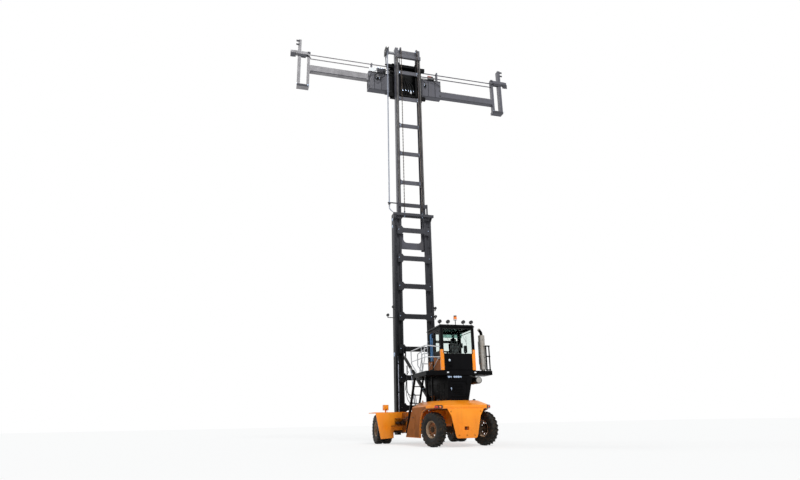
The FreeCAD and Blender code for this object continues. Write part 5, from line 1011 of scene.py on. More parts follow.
def makeSilencerParts():
    x, y, radius = -1.11, 2.78, 0.125
    guard = radius + 0.02
    shape = newShape()
    for z in (2.93, 3.42, 3.92):
        addBand(shape, (x, y, z), skyward, 0.02, radius, radius + 0.005, 40)
        addBlock(shape, (x - 0.02, y + radius, z - 0.02), (x + 0.02, y + radius + 0.03, z + 0.02), 0.003)
        addBolt(shape, (x + 0.02, y + radius + 0.018, z), leftward, 0.008)

    def guardPoint(turned, z):
        angle = math.radians(turned)
        return Vector((x + math.cos(angle) * guard, y + math.sin(angle) * guard, z))

    for i in range(12):  # perforated guard sheet on the outer side
        addRod(shape, guardPoint(-150 + i * 11, 2.98), guardPoint(-150 + i * 11, 3.86), 0.006, 6, paint=1)
    for z in (2.98, 3.27, 3.56, 3.86):
        addTube(shape, [guardPoint(turned, z) for turned in range(-150, -18, 10)], 0.007, 6, 1)
    for post in (-1.205, -1.335):  # rubber sleeves on the guard posts
        addRod(shape, (post, 2.93, 2.72), (post, 2.93, 3.68), 0.027, 14, 0.004, 3)
    addBlocks(shape, [((-1.37, 2.90, z - 0.02), (-1.17, 2.96, z + 0.02)) for z in (2.75, 3.265, 3.66)], 0.006, 3)
    addPipe(shape, [(x, y, 4.08), (x, y, 4.20), (x + 0.125, y + 0.058, 4.315)], 0.06, 5, 0.058, 20, 3)
    finishPiece("silencerBands", shape, ["silencerSteel", "railEnamel", "orangeEnamel", "blackEnamel"], "chassis")
    cleaner = newShape()
    for y in (2.42, 2.72, 2.94):
        addBand(cleaner, (-0.80, y, 2.36), rearward, 0.014, 0.125, 0.130, 36, 2)
    addTurned(cleaner, [(0, 0.10), (0.006, 0.10), (0.008, 0.09), (0.008, 0.03), (0.012, 0.025), (0.012, 0)],
              (-0.80, 3.008, 2.36), rearward)
    finishPiece("cleanerBands", cleaner, ["silencerSteel", "zincPlate", "blackEnamel"], "chassis")


makeHousingParts(housingSetup)
makeSilencerParts()
copyNode("engine_housing", "housingPlates", "blackEnamel", 0.006)
print("housing made")


# Cab

cabSetup = {
    "wallX": 0.70, "rearY": 3.02, "floorZ": 2.71, "stripTop": 3.50, "stripRear": 0.125, "stripSide": 0.085,
    "rearWindow": (-0.59, 0.59, 3.34, 4.30), "bead": 0.013, "doorX": 0.736, "platformTop": 2.71,
}


def addSeal(shape, corners, radius, paint=0):  # rubber bead round a window
    addPipe(shape, corners + [corners[0]], 0.05, 4, radius, 8, paint)


def addWorkLamp(shape, x, z, front, fins, segments):  # lens, its rim and the cooling fins behind it
    addTurned(shape, [(0.0, 0.064), (0.006, 0.064), (0.008, 0.056)], (x, front, z), forward, segments)
    addTurned(shape, [(-0.004, 0.058), (0.004, 0.05), (0.009, 0.03), (0.011, 0)], (x, front, z), forward, segments, 1)
    for y in fins:
        addBand(shape, (x, y, z), rearward, 0.004, 0.063, 0.068, segments)


def makeCabShell(setup):
    shape = newShape()
    wall, rear, floor, top = setup["wallX"], setup["rearY"], setup["floorZ"] + 0.02, setup["stripTop"]
    wide, deep = setup["stripRear"], setup["stripSide"]
    for side in (1, -1):
        outline = [(side * x, y) for x, y in
                   ((wall - wide, rear + 0.006), (wall + 0.006, rear + 0.006), (wall + 0.006, rear - deep),
                    (wall - 0.002, rear - deep), (wall - 0.002, rear - 0.002), (wall - wide, rear - 0.002))]
        addPlate(shape, outline, "z", floor, top, 0.002)
        for z in (floor + 0.08, (floor + top) / 2, top - 0.08):
            addBolt(shape, (side * (wall - wide / 2), rear + 0.006, z), rearward, 0.008, 1)
    inner = wall - wide - 0.02
    addPlate(shape, roundOutline(box4((-inner, 2.75), (inner, 3.29)), 0.04, 3), "y", rear - 0.002, rear + 0.012, 0.004,
             2)
    for x in (-inner + 0.05, 0, inner - 0.05):
        for z in (2.80, 3.24):
            addBolt(shape, (x, rear + 0.012, z), rearward, 0.008, 2)
    addPlate(shape, roundOutline(box4((0.26, 3.00), (0.48, 3.20)), 0.03, 3), "y", rear + 0.01, rear + 0.022, 0.004, 2)
    lamp = (0.37, rear + 0.020, 3.09)
    addTurned(shape, [(0, 0.062), (0.016, 0.062), (0.020, 0.056), (0.020, 0.046)], lamp, rearward, 32, 2)
    addTurned(shape, [(0.008, 0.048), (0.020, 0.040), (0.026, 0.022), (0.028, 0)], lamp, rearward, 32, 3)
    addTurned(shape, [(0, 0.02), (0.045, 0.02), (0.047, 0)], (0.30, rear + 0.01, 3.15), rearward, 16, 2)
    addBlocks(shape, [((0.25, rear + 0.008, 2.835 + i * 0.016), (0.41, rear + 0.022, 2.842 + i * 0.016))
                      for i in range(5)], 0.001, 2)
    finishPiece("cabPanels", shape, ["orangeEnamel", "zincPlate", "blackEnamel", "clearLens"], "chassis")
    panels = newShape()
    low, high = 2.73, 3.30
    # the lower side panels take the darker orange: painted shade
    for outline in ([(2.19, low), (2.93, low), (2.93, high - 0.2), (2.19, high)], box4((1.54, low), (1.64, high))):
        addPlate(panels, roundOutline(outline, 0.02, 2), "x", wall - 0.002, wall + 0.004, 0.002)
    addPipe(panels, [(wall, 2.86, 3.18), (wall + 0.06, 2.86, 3.18), (wall + 0.06, 2.30, 2.86), (wall, 2.30, 2.86)],
            0.05, 5, 0.014, 10, 1)
    finishPiece("cabSidePanels", panels, ["shadedDustyOrange", "railEnamel"], "chassis")
    beads = newShape()
    x0, x1, z0, z1 = setup["rearWindow"]
    for y, low, high in ((rear + 0.004, (x0, z0), (x1, z1)), (1.518, (-0.60, 2.96), (0.60, 4.30))):
        addSeal(beads, [(x, y, z) for x, z in box4(low, high)], setup["bead"])
    for x, low, high in ((wall, (2.34, 3.45), (2.90, 4.23)), (-wall, (1.63, 3.34), (2.91, 4.23))):
        addSeal(beads, [(x, y, z) for y, z in box4(low, high)], setup["bead"])
    for y, way, sweep in ((rear + 0.018, 1, 0.30), (1.500, -1, 0.36)):
        x, top = -0.05, 4.31
        addRod(beads, (x, y - 0.01, top), (x, y + 0.012 * way, top), 0.02, 14)
        tip = (x - sweep, y, top - 0.52)
        addRod(beads, (x, y, top), tip, 0.006, 8)
        addBlock(beads, (tip[0] - 0.006, y - 0.006, tip[2] - 0.26), (tip[0] + 0.006, y + 0.004, tip[2] + 0.22), 0.002)
    finishPiece("windowSeals", beads, ["sealRubber"], "chassis")
    blind = newShape()
    addPlate(blind, roundOutline(box4((-0.22, 3.95), (0.575, 4.285)), 0.015, 2), "y", 2.925, 2.931, 0.001)
    for x in (-0.16, 0.52):
        addRod(blind, (x, 2.928, 4.27), (x, 2.955, 4.30), 0.006, 8, paint=1)
    finishPiece("sunBlind", blind, ["blindFilm", "mouldedPlastic"], "chassis")


def makeDoorParts(setup):  # panel, handle, lock and seals that swing with the door
    shape = newShape()
    x = setup["doorX"]
    # the door's lower panel takes the darker orange: painted shade
    addPlate(shape, roundOutline(box4((1.69, 2.83), (2.13, 3.12)), 0.02, 3), "x", x - 0.003, x + 0.006, 0.002)
    addPipe(shape, [(x, 1.72, 3.45), (x + 0.055, 1.72, 3.45), (x + 0.055, 1.72, 3.95), (x, 1.72, 3.95)], 0.04, 5,
            0.012, 10, 1)
    addBlock(shape, (x - 0.002, 1.675, 3.26), (x + 0.03, 1.705, 3.40), 0.006, 2)
    addTurned(shape, [(0, 0.014), (0.034, 0.014), (0.036, 0)], (x, 1.69, 3.22), leftward, 16, 1)
    addSeal(shape, [(x + 0.002, y, z) for y, z in box4((1.705, 3.145), (2.115, 4.255))], 0.011, 3)
    addPipe(shape, [(x, 2.08, 3.06), (x + 0.04, 2.08, 3.06), (x + 0.04, 1.76, 2.88), (x, 1.76, 2.88)], 0.04, 4,
            0.011, 10, 1)
    finishPiece("doorParts", shape, ["shadedDustyOrange", "railEnamel", "mouldedPlastic", "sealRubber"], "door")


def makeRoofParts():  # lamp lenses and fins, beacon and aerial
    shape = newShape()
    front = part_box("work_lamps")[0][1]
    for x in (-0.66, -0.33, 0.31, 0.65):
        addWorkLamp(shape, x, 4.588, front, [2.90 + i * 0.02 for i in range(3)], 28)
    addTurned(shape, [(0, 0.074), (0.02, 0.074), (0.024, 0.07), (0.028, 0.066)], (0, 2.89, 4.655), skyward, 32, 2)
    addTurned(shape, [(0, 0.068), (0.08, 0.066), (0.115, 0.060), (0.142, 0.044), (0.154, 0.022), (0.157, 0)],
              (0, 2.89, 4.678), skyward, 32, 3)
    addRod(shape, (-0.50, 1.62, 4.50), (-0.50, 1.62, 4.53), 0.02, 14, 0.003)
    addRod(shape, (-0.50, 1.62, 4.53), (-0.50, 1.68, 4.81), 0.004, 6, 0.001)
    finishPiece("roofLampParts", shape, ["lampHousing", "clearLens", "whitePlastic", "amberLens"], "chassis")


def makePlatformParts(setup):  # toe edges, anti-slip bars, marker lamps and brackets below
    shape = newShape()
    top = setup["platformTop"]
    for count, first, pitch, x0, x1 in ((24, 0.34, 0.048, 0.86, 1.24), (10, 2.12, 0.05, -1.33, -0.99)):
        addBlocks(shape, [((x0, first + i * pitch, top - 0.001), (x1, first + 0.016 + i * pitch, top + 0.006))
                          for i in range(count)], 0.002)
    half = Vector((0.032, 0.006, 1.31))
    for x in (1.22, 0.87):  # flanges of the ladder's channels
        for y in (-0.036, 0.046):
            middle = Vector((x, y + 0.70, 1.58))
            addBlock(shape, middle - half, middle + half, 0.002, 0, Matrix.Rotation(math.atan2(-1.40, 2.26), 3, "X"))
    for x in (0.456, -0.654):
        addBlock(shape, (x - 0.05, 3.038, 2.61), (x + 0.05, 3.052, 2.67))
        addBlock(shape, (x - 0.04, 3.050, 2.618), (x + 0.04, 3.062, 2.662), 0.006, 1)
    for x in (-1.1, -0.8, 0.7, 0.95):
        addBolt(shape, (x, 3.04, 2.60), rearward, 0.010)
    for k in range(3):
        addPipe(shape, [(-0.46 + k * 0.03, 3.0, 2.53), (-0.60, 3.02 - 0.01 * k, 2.50 - 0.02 * k),
                        (-0.70, 2.96, 2.44), (-0.72, 2.90, 2.42)], 0.06, 5, 0.010, 8, 2)
    finishPiece("platformParts", shape, ["blackEnamel", "whitePlastic", "blackHose"], "chassis")


def makeCabInside():  # monitor, lever, pedals and wheel trim
    shape = newShape()
    addRod(shape, (-0.46, 2.10, 3.35), (-0.44, 2.16, 3.70), 0.014, 10, 0.003)
    addBlock(shape, (-0.55, 2.15, 3.66), (-0.33, 2.18, 3.86), 0.010, 0, Matrix.Rotation(math.radians(-12), 3, "Z"))
    for x, y in ((-0.32, 2.30), (-0.36, 2.36)):
        addTurned(shape, [(0, 0.026), (0.02, 0.022), (0.03, 0.012), (0.10, 0.010), (0.115, 0.020), (0.165, 0.022),
                          (0.18, 0.012), (0.182, 0)], (x, y, 3.26), (0.05, -0.1, 1), 16)
    addBlock(shape, (-0.44, 2.06, 3.16), (-0.28, 2.52, 3.262), 0.02)
    addRod(shape, (-0.36, 2.3, 2.78), (-0.36, 2.3, 3.18), 0.03, 12, 0.004)
    for x in (-0.12, 0.10):
        addBlock(shape, (x - 0.035, 1.70, 2.82), (x + 0.035, 1.72, 2.94), 0.006, 0,
                 Matrix.Rotation(math.radians(-35), 3, "X"))
        addRod(shape, (x, 1.71, 2.86), (x, 1.66, 2.78), 0.008, 8)
    addBlock(shape, (-0.40, 1.60, 2.78), (-0.32, 1.68, 4.28), 0.012)
    addBlock(shape, (-0.52, 2.60, 3.42), (-0.40, 2.72, 3.70), 0.02)
    addRod(shape, (-0.46, 2.66, 2.78), (-0.46, 2.66, 3.44), 0.02, 12, 0.004)
    addBlock(shape, (-0.55, 1.62, 3.92), (0.55, 1.70, 4.02), 0.02)
    for x in (0.40, -0.40):
        addRod(shape, (x, 1.66, 4.28), (x, 1.66, 4.02), 0.01, 8)
    finishPiece("cabControls", shape, ["mouldedPlastic"], "chassis")


makeCabShell(cabSetup)
makeDoorParts(cabSetup)
makeRoofParts()
makePlatformParts(cabSetup)
makeCabInside()
copyNode("cab_frame", "cabShell", "blackEnamel", 0.008)
copyNode("cab_roof", "cabRoofCap", "blackEnamel", 0.012)
print("cab made")


# Operator's seat

seatSetup = {
    "cushion": {"low": (-0.235, 2.14, 3.14), "high": (0.235, 2.60, 3.28), "pressure": 3.0, "cap": 0.014},
    "back": {"low": (-0.225, 2.52, 3.28), "high": (0.225, 2.645, 3.80), "pressure": 3.0, "cap": 0.014},
    "head": {"low": (-0.13, 2.53, 3.83), "high": (0.13, 2.62, 3.985), "pressure": 2.5, "cap": 0.010},
    "voxel": 0.009, "frames": 16, "shrink": 0.010, "edge": 0.03, "fill": 0.7, "cuts": 3, "softening": 0.3,
    "quality": 4, "lastSmoothing": (4, 0.5),
}


def applyModifiers(piece):
    graph = bpy.context.evaluated_depsgraph_get()
    mesh = bpy.data.meshes.new_from_object(piece.evaluated_get(graph), depsgraph=graph)
    piece.modifiers.clear()
    piece.data = mesh


def makePad(name, pad, setup):  # block, remeshed and blown up a little as cloth
    shape = newShape()
    addBlock(shape, [a + setup["shrink"] for a in pad["low"]], [b - setup["shrink"] for b in pad["high"]],
             setup["edge"])
    piece = finishPiece(name, shape, ["seatCover"], "chassis")
    solid = bmesh.new()
    solid.from_mesh(piece.data)
    bmesh.ops.subdivide_edges(solid, edges=solid.edges, cuts=setup["cuts"], use_grid_fill=True)
    for _ in range(3):
        bmesh.ops.smooth_vert(solid, verts=solid.verts, factor=setup["softening"])
    solid.to_mesh(piece.data)
    solid.free()
    remesh = piece.modifiers.new("remesh", "REMESH")
    remesh.mode = "VOXEL"
    remesh.voxel_size = setup["voxel"]
    applyModifiers(piece)
    before = [vert.co.copy() for vert in piece.data.vertices]
    cloth = piece.modifiers.new("cloth", "CLOTH")
    cloth.settings.use_pressure = True
    cloth.settings.uniform_pressure_force = pad["pressure"]
    cloth.settings.effector_weights.gravity = 0
    cloth.settings.quality = setup["quality"]
    for step in range(1, setup["frames"] + 1):
        bpy.context.scene.frame_set(step)
    applyModifiers(piece)
    for vert, old in zip(piece.data.vertices, before):
        move = vert.co - old
        if move.length > pad["cap"]:
            vert.co = old + move.normalized() * pad["cap"]
    bpy.context.scene.frame_set(1)
    for polygon in piece.data.polygons:
        polygon.use_smooth = True
    crown = piece.modifiers.new("smooth", "SMOOTH")
    crown.iterations, crown.factor = setup["lastSmoothing"]
    applyModifiers(piece)


def makeSeat(setup):
    for name in ("cushion", "back", "head"):
        makePad(f"seat_{name}", setup[name], setup)
    shape = newShape()
    addBlock(shape, (-0.20, 2.16, 2.775), (0.20, 2.58, 2.80), 0.006)
    for i in range(6):  # rubber bellows over the suspension
        z = 2.80 + i * 0.045
        addBlock(shape, (-0.17, 2.20, z), (0.17, 2.54, z + 0.03), 0.012, 1)
        addBlock(shape, (-0.15, 2.22, z + 0.026), (0.15, 2.52, z + 0.046), 0.006, 1)
    addBlock(shape, (-0.225, 2.13, 3.07), (0.225, 2.60, 3.145), 0.014)
    addPlate(shape, roundOutline([(-0.20, 3.26), (0.20, 3.26), (0.17, 3.80), (-0.17, 3.80)], 0.06), "y", 2.625, 2.652,
             0.010)
    for x in (-0.06, 0.06):
        addRod(shape, (x, 2.60, 3.74), (x, 2.58, 3.88), 0.007, 10, 0.002, 2)
    for side in (1, -1):
        addBlock(shape, (side * 0.238 - 0.010, 2.42, 3.16), (side * 0.238 + 0.010, 2.60, 3.30), 0.006)
        addRod(shape, (side * 0.21, 2.50, 3.14), (side * 0.247, 2.50, 3.14), 0.03, 16, 0.004)
    finishPiece("seatBase", shape, ["mouldedPlastic", "sealRubber", "cleanChrome"], "chassis",
                ["operator_seat"])


makeSeat(seatSetup)
print("seat made")


# Mast

mastSetup = {
    "rear": -2.37, "beams": (1.5, 2.84, 4.16, 5.71, 7.20, 8.62, 10.09, 10.905), "beamFace": -2.192,
    "innerBeams": (19.54, 17.86, 16.18, 14.50, 12.82), "chainX": 0.47, "rearStrand": -2.13, "frontStrand": -2.53,
    "linkPitch": 0.09, "sheaveX": 1.19, "sheaveZ": 20.88, "hoses": (1.172, 1.208), "hoseRadius": 0.016,
    "hoseLow": 11.56,
}


def makeMastParts(setup):  # pipes, clamps, gussets, bolts and rollers fixed to the outer mast
    shape = newShape()
    rear = setup["rear"]
    for x, radius, low, high, paint in ((0.885, 0.019, 1.35, 3.75, 1), (0.885, 0.017, 3.75, 10.72, 0),
                                        (0.845, 0.011, 1.9, 10.72, 0), (-0.88, 0.012, 2.4, 10.6, 0)):
        addPipe(shape, [(x, rear + 0.10, low - 0.15), (x, rear + 0.045, low), (x, rear + 0.045, high),
                        (x, rear + 0.02, high + 0.1)], 0.12, 5, radius, 10, paint)
    for z in (2.2, 3.5, 4.9, 6.5, 7.9, 9.3, 10.4):
        addBlock(shape, (0.81, rear - 0.002, z - 0.03), (0.925, rear + 0.068, z + 0.03), 0.006)
        addBolt(shape, (0.866, rear + 0.068, z), rearward, 0.009)
        addBlock(shape, (-0.92, rear - 0.002, z - 0.02), (-0.84, rear + 0.062, z + 0.02), 0.006)
    for z in setup["beams"][:-1]:
        for side in (1, -1):
            for rise, paint in ((0.02, 2), (-0.04, 0)):
                addBolt(shape, (side * 0.78, setup["beamFace"], z + rise), rearward, 0.013, paint)
    levels = (0.62, *setup["beams"])
    for low, high in zip(levels, levels[1:]):  # guard plates beside the lift cylinders
        addBlocks(shape, [((side * 0.705, -2.386, low + 0.02), (side * 0.865, -2.378, high - 0.02))
                          for side in (1, -1)], 0.002)
    for side in (1, -1):
        for z in (10.35, 10.72):
            addTurned(shape, [(0, 0.075), (0.012, 0.075), (0.016, 0.06), (0.016, 0.03), (0.024, 0.028), (0.024, 0)],
                      (side, -2.56, z), (side, 0, 0), 24, 2)
        for z in (0.60, 3.94):
            addTurned(shape, [(0, 0.10), (0.016, 0.10), (0.020, 0.085), (0.020, 0.04), (0.034, 0.036), (0.034, 0)],
                      (side, -2.56, z), (side, 0, 0), 24, 2)
        addBlocks(shape, [((side, -2.73, z - 0.012), (side * 0.988, -2.39, z + 0.012))
                          for z in (1.1, 2.1, 3.3, 4.6, 6.3, 7.6, 9.0)], 0.003)
    for x in (-setup["chainX"], setup["chainX"]):  # chain anchors on the top beam
        y = setup["rearStrand"]
        addRod(shape, (x, y, 10.78), (x, y, 11.03), 0.018, 14, 0.003, 2)
        addTurned(shape, [(0, 0.034), (0.03, 0.034)], (x, y, 10.83), skyward, 6, 2, False)
        addBlock(shape, (x - 0.03, -2.165, 11.01), (x + 0.03, -2.095, 11.10), 0.008)
    addBlock(shape, (1.135, -2.47, 11.50), (1.245, -2.39, 11.585), 0.008)
    for x in setup["hoses"]:
        addTurned(shape, [(0, 0.022), (0.04, 0.022), (0.042, 0.018), (0.09, 0.018)], (x, -2.43, 11.585), skyward, 6, 2,
                  False)
        addPipe(shape, [(x, -2.43, 11.51), (x, -2.43, 11.28), (x - 0.06, -2.34, 11.15), (0.90, -2.31, 10.95),
                        (0.88, -2.325, 10.72)], 0.1, 5, 0.014, 8, 1)
    finishPiece("mastPipes", shape, ["mastEnamel", "hoseRubber", "zincPlate"], "mast")


def makeMastLamps():
    shape = newShape()
    low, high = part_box("mast_lamps")
    front, rear = low[1], high[1]
    for x, z in ((1.345, 5.78), (1.07, 6.19), (-1.07, 6.19), (-1.07, 5.78)):
        addWorkLamp(shape, x, z, front, [rear - 0.01 - i * 0.02 for i in range(3)], 24)
        addPipe(shape, [(x, rear - 0.01, z), (x, rear + 0.03, z - 0.02), (x, rear + 0.02, z - 0.1),
                        (x - 0.03 * (1 if x > 0 else -1), rear - 0.02, z - 0.12)], 0.03, 5, 0.005, 6, 2)
    finishPiece("mastLampParts", shape, ["lampHousing", "clearLens", "blackHose"], "mast")


def addChain(shape, x, y, low, high, pitch):  # leaf chain: plates in two layers, joined by pins
    count = max(2, round((high - low) / pitch))
    step = (high - low) / count
    for i in range(count):
        a, b = low + i * step, low + (i + 1) * step
        for k in (-0.019, 0.0, 0.019) if i % 2 else (-0.0095, 0.0095):
            addBlock(shape, (x + k - 0.0035, y - 0.016, a - 0.008), (x + k + 0.0035, y + 0.016, b + 0.008), 0.002)
        addRod(shape, (x - 0.0215, y, a), (x + 0.0215, y, a), 0.008, 8, 0.001, 1)


def makeChains(setup):
    for name, node, y, low, bodies, start, end in (
            ("liftChainLinks", "lift_chains", setup["rearStrand"], 11.06, ("mast", "inner_mast"), 11.06, 20.88),
            ("carriageChainLinks", "carriage_chains", setup["frontStrand"], 20.20, ("inner_mast", "carriage"), 20.85,
             20.28)):
        shape = newShape()
        for side in (1, -1):
            addChain(shape, side * setup["chainX"], y, low, setup["sheaveZ"], setup["linkPitch"])
        piece = finishPiece(name, shape, ["oiledChain", "cleanChrome"], None, [node])
        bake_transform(piece)


def makeHoses(setup):
    for name, nodes, low, high, count, bodies, y, start, end in (
            ("mastHoses", ["hose_fall"], (-2.43, setup["hoseLow"]), (-2.43, setup["sheaveZ"]), 24,
             ("mast", "inner_mast"), -2.43, 7.5, 20.88),
            ("carriageHoses", (), (-2.85, setup["sheaveZ"]), (-2.735, 20.09), 8, ("inner_mast", "carriage"), -2.85,
             20.85, 20.15)):
        shape = newShape()
        for x in setup["hoses"]:
            line = [Vector((x, *low)).lerp(Vector((x, *high)), i / count) for i in range(count + 1)]
            addTube(shape, line, setup["hoseRadius"])
        piece = finishPiece(name, shape, ["hoseRubber"], None, nodes)
        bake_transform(piece)


def makeTiltHoses():  # flexible hoses in loops between the chassis and the mast
    shape = newShape()
    for k, (x, low, sway, paint) in enumerate(((0.50, 1.75, 0.16, 1), (0.42, 1.52, -0.12, 0), (0.55, 1.95, 0.06, 1),
                                               (0.36, 1.62, -0.02, 0), (0.47, 2.10, 0.22, 1))):
        addPipe(shape, [(x, -2.19, 3.62 - 0.12 * k), (x, -2.08, 3.56 - 0.12 * k), (x + sway * 0.4, -2.00, 3.0),
                        (x + sway, -1.90, 2.3), (x + sway * 1.1, -1.70, low + 0.12),
                        (x + sway * 0.6, -1.42, low - 0.12), (x, -1.14, low), (x - 0.04, -0.98, 1.42),
                        (x - 0.04, -0.94, 1.28)], 0.3, 5, 0.014, 8, paint)
    piece = finishPiece("tiltHoses", shape, ["hoseRubber", "blackHose"], None)
    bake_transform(piece)


def makeMastHead(setup):  # hose sheave with its guard, chain sheave caps and roller ends on the inner mast
    shape = newShape()
    x, y, z = setup["sheaveX"], -2.62, setup["sheaveZ"]
    groove = [(-0.055, 0.05), (-0.055, 0.235), (-0.045, 0.235), (-0.036, 0.195), (-0.018, 0.185), (0, 0.235),
              (0.018, 0.185), (0.036, 0.195), (0.045, 0.235), (0.055, 0.235), (0.055, 0.05)]
    addTurned(shape, groove, (x, y, z), leftward, 48)
    outline = roundOutline([(-2.90, z - 0.20), (-2.62, z - 0.24), (-2.34, z - 0.20), (-2.36, z + 0.20),
                            (-2.62, z + 0.262), (-2.88, z + 0.20)], 0.05, 3)
    for side in (-1, 1):
        addPlate(shape, outline, "x", x + side * 0.068 - 0.006, x + side * 0.068 + 0.006, 0.002, 1)
    for rodY, rise in ((-2.84, 0.12), (-2.62, 0.248), (-2.40, 0.12)):
        addRod(shape, (1.125, rodY, z + rise), (1.255, rodY, z + rise), 0.010, 10, 0.002, 1)
    addRod(shape, (0.62, y, z), (1.29, y, z), 0.038, 20, 0.006, 2)
    addBlock(shape, (0.60, -2.70, z - 0.05), (0.73, -2.54, z + 0.05), 0.008, 2)
    addBlock(shape, (0.70, -2.655, z + 0.02), (1.12, -2.585, z + 0.05), 0.006, 2)
    for side in (1, -1):
        for capX, way in ((0.505, side), (0.43, -side)):
            addTurned(shape, [(0, 0.06), (0.016, 0.06), (0.02, 0.05), (0.02, 0)], (side * capX, -2.33, z),
                      (way, 0, 0), 24, 3)
        for level in (9.35, 9.85):
            addTurned(shape, [(-0.02, 0.07), (0.0, 0.07), (0.004, 0.06), (0.004, 0)], (side * 0.95, -2.57, level),
                      (side, 0, 0), 24, 3)
    for beam in setup["innerBeams"]:
        for side in (1, -1):
            for rise in (-0.035, 0.035):
                addBolt(shape, (side * 0.50, -2.436, beam + rise), rearward, 0.010, 3)
    for side in (1, -1):
        for i in range(22):  # stitch welds along the flange
            spot = 9.6 + i * 0.5
            addRod(shape, (side * 0.66, -2.398, spot), (side * 0.66, -2.398, spot + 0.16), 0.007, 6, 0.003, 1)
    finishPiece("mastHeadParts", shape, ["lampHousing", "blackEnamel", "railEnamel", "zincPlate"], "inner_mast")


def makeTiltParts():  # port blocks, pipes and pins on the tilt cylinders
    barrels, rods = newShape(), newShape()
    foot, eye = Vector((0, 1.35, 1.72)), Vector((0, -2.13, 3.77))
    along = (eye - foot).normalized()
    up = Vector((0, -along.z, along.y))
    length = (Vector((0, -0.878, 3.03)) - foot).length
    for side in (1, -1):
        base = Vector((side * 0.64, foot.y, foot.z))
        for reach in (0.32, length - 0.12):
            addTurned(barrels, [(0, 0.022), (0.03, 0.022), (0.032, 0.014), (0.055, 0.014)],
                      base + along * reach + up * 0.085, up, 12, 1)
        addPipe(barrels, [base + along * reach + up * rise for reach, rise in
                          ((0.32, 0.14), (0.5, 0.12), (length - 0.4, 0.12), (length - 0.12, 0.14))],
                0.08, 4, 0.009, 8, 2)
        for reach in (0.8, length - 0.6):
            addBand(barrels, base + along * reach, along, 0.02, 0.082, 0.088, 28, 1)
        addTurned(barrels, [(0, 0.055), (0.012, 0.055), (0.016, 0.04), (0.016, 0)], (side * 0.715, foot.y, foot.z),
                  (side, 0, 0), 24, 1)
        addTurned(rods, [(0, 0.05), (0.010, 0.05), (0.014, 0.036), (0.014, 0)], (side * 0.683, eye.y, eye.z),
                  (side, 0, 0), 24)
        gaiter = [(0.16, 0.046), (0.16, 0.062)]  # rubber sleeve over the rod
        for i in range(24):
            gaiter += [(0.17 + i * 0.04, 0.060), (0.19 + i * 0.04, 0.070)]
        gaiter += [(1.12, 0.062), (1.12, 0.046)]
        addTurned(rods, gaiter, (side * 0.64, eye.y, eye.z), -along, 24, 1)
    finishPiece("tiltPorts", barrels, ["blackEnamel", "zincPlate", "hoseRubber"], "tilt_cylinders")
    finishPiece("tiltGaiters", rods, ["zincPlate", "sealRubber"], "tilt_pistons")


makeMastParts(mastSetup)
makeMastLamps()
makeChains(mastSetup)
makeHoses(mastSetup)
makeTiltHoses()
makeMastHead(mastSetup)
makeTiltParts()
print("mast made")


# Carriage and spreader

spreaderSetup = {
    "rear": -3.04, "top": 19.72, "bottom": 18.60, "half": 2.15,
    "plate": (1.70, 2.12, 19.76, 19.98), "endInner": 5.42, "endOuter": 6.07,
    "rise": {"left": 0.60, "right": 0.10}, "armRear": -3.10, "front": -3.40, "lock": 20.17,
}


def makeCarriageParts():
    shape = newShape()
    for i, x in enumerate((-0.34, -0.18, -0.04, 0.12, 0.28)):  # valves and couplings low in the bay
        addBlock(shape, (x - 0.05, -2.63, 18.33), (x + 0.05, -2.55, 18.46), 0.010, 1 if i == 1 else 0)
        addTurned(shape, [(0, 0.026), (0.05, 0.026), (0.054, 0.018), (0.09, 0.018), (0.094, 0)], (x, -2.59, 18.46),
                  skyward, 12, 2)
        addPipe(shape, [(x, -2.59, 18.54), (x + 0.02, -2.60, 18.85), (x * 0.6 + 0.12, -2.68, 19.2),
                        (x * 0.4 + 0.22, -2.82, 19.62)], 0.16, 5, 0.015, 8, 3)
    for side in (1, -1):
        for x in (1.00, 1.06):
            for z in (18.25, 20.13):
                addBolt(shape, (side * x, -2.77, z), rearward, 0.014)
        for z in (18.40, 19.98):
            addBlock(shape, (side * 0.42 - 0.02, -2.76, z - 0.04), (side * 0.42 + 0.02, -2.56, z + 0.04), 0.006)
    addPipe(shape, [(1.15, -2.735, 20.10), (1.16, -2.735, 19.99), (1.12, -2.82, 19.88), (0.90, -2.83, 19.80),
                    (0.60, -2.83, 19.74), (0.36, -2.82, 19.62)], 0.12, 5, 0.030, 10, 3)
    addBlock(shape, (1.06, -2.772, 20.07), (1.25, -2.705, 20.14), 0.008)
    finishPiece("carriageParts", shape, ["blackEnamel", "railEnamel", "zincPlate", "blackHose"], "carriage")


def makeShiftParts():
    shape = newShape()
    for side in (1, -1):
        for z in (18.12, 20.265):  # wear pads on the hooks
            addBlock(shape, (side * 0.38 - 0.14, -2.792, z - 0.022), (side * 0.38 + 0.14, -2.776, z + 0.022), 0.004, 1)
        for z in (18.55, 19.2, 19.85):
            addBolt(shape, (side * 0.88, -2.91, z), rearward, 0.014)
    addRod(shape, (-0.52, -2.862, 19.95), (0.30, -2.862, 19.95), 0.036, 20, 0.006)
    addRod(shape, (0.30, -2.862, 19.95), (0.62, -2.862, 19.95), 0.018, 16, 0.003, 3)
    addBlock(shape, (0.58, -2.915, 19.90), (0.66, -2.83, 20.0), 0.008)
    finishPiece("shiftParts", shape, ["mastEnamel", "mouldedPlastic", "zincPlate", "cleanChrome"], "side_shift")


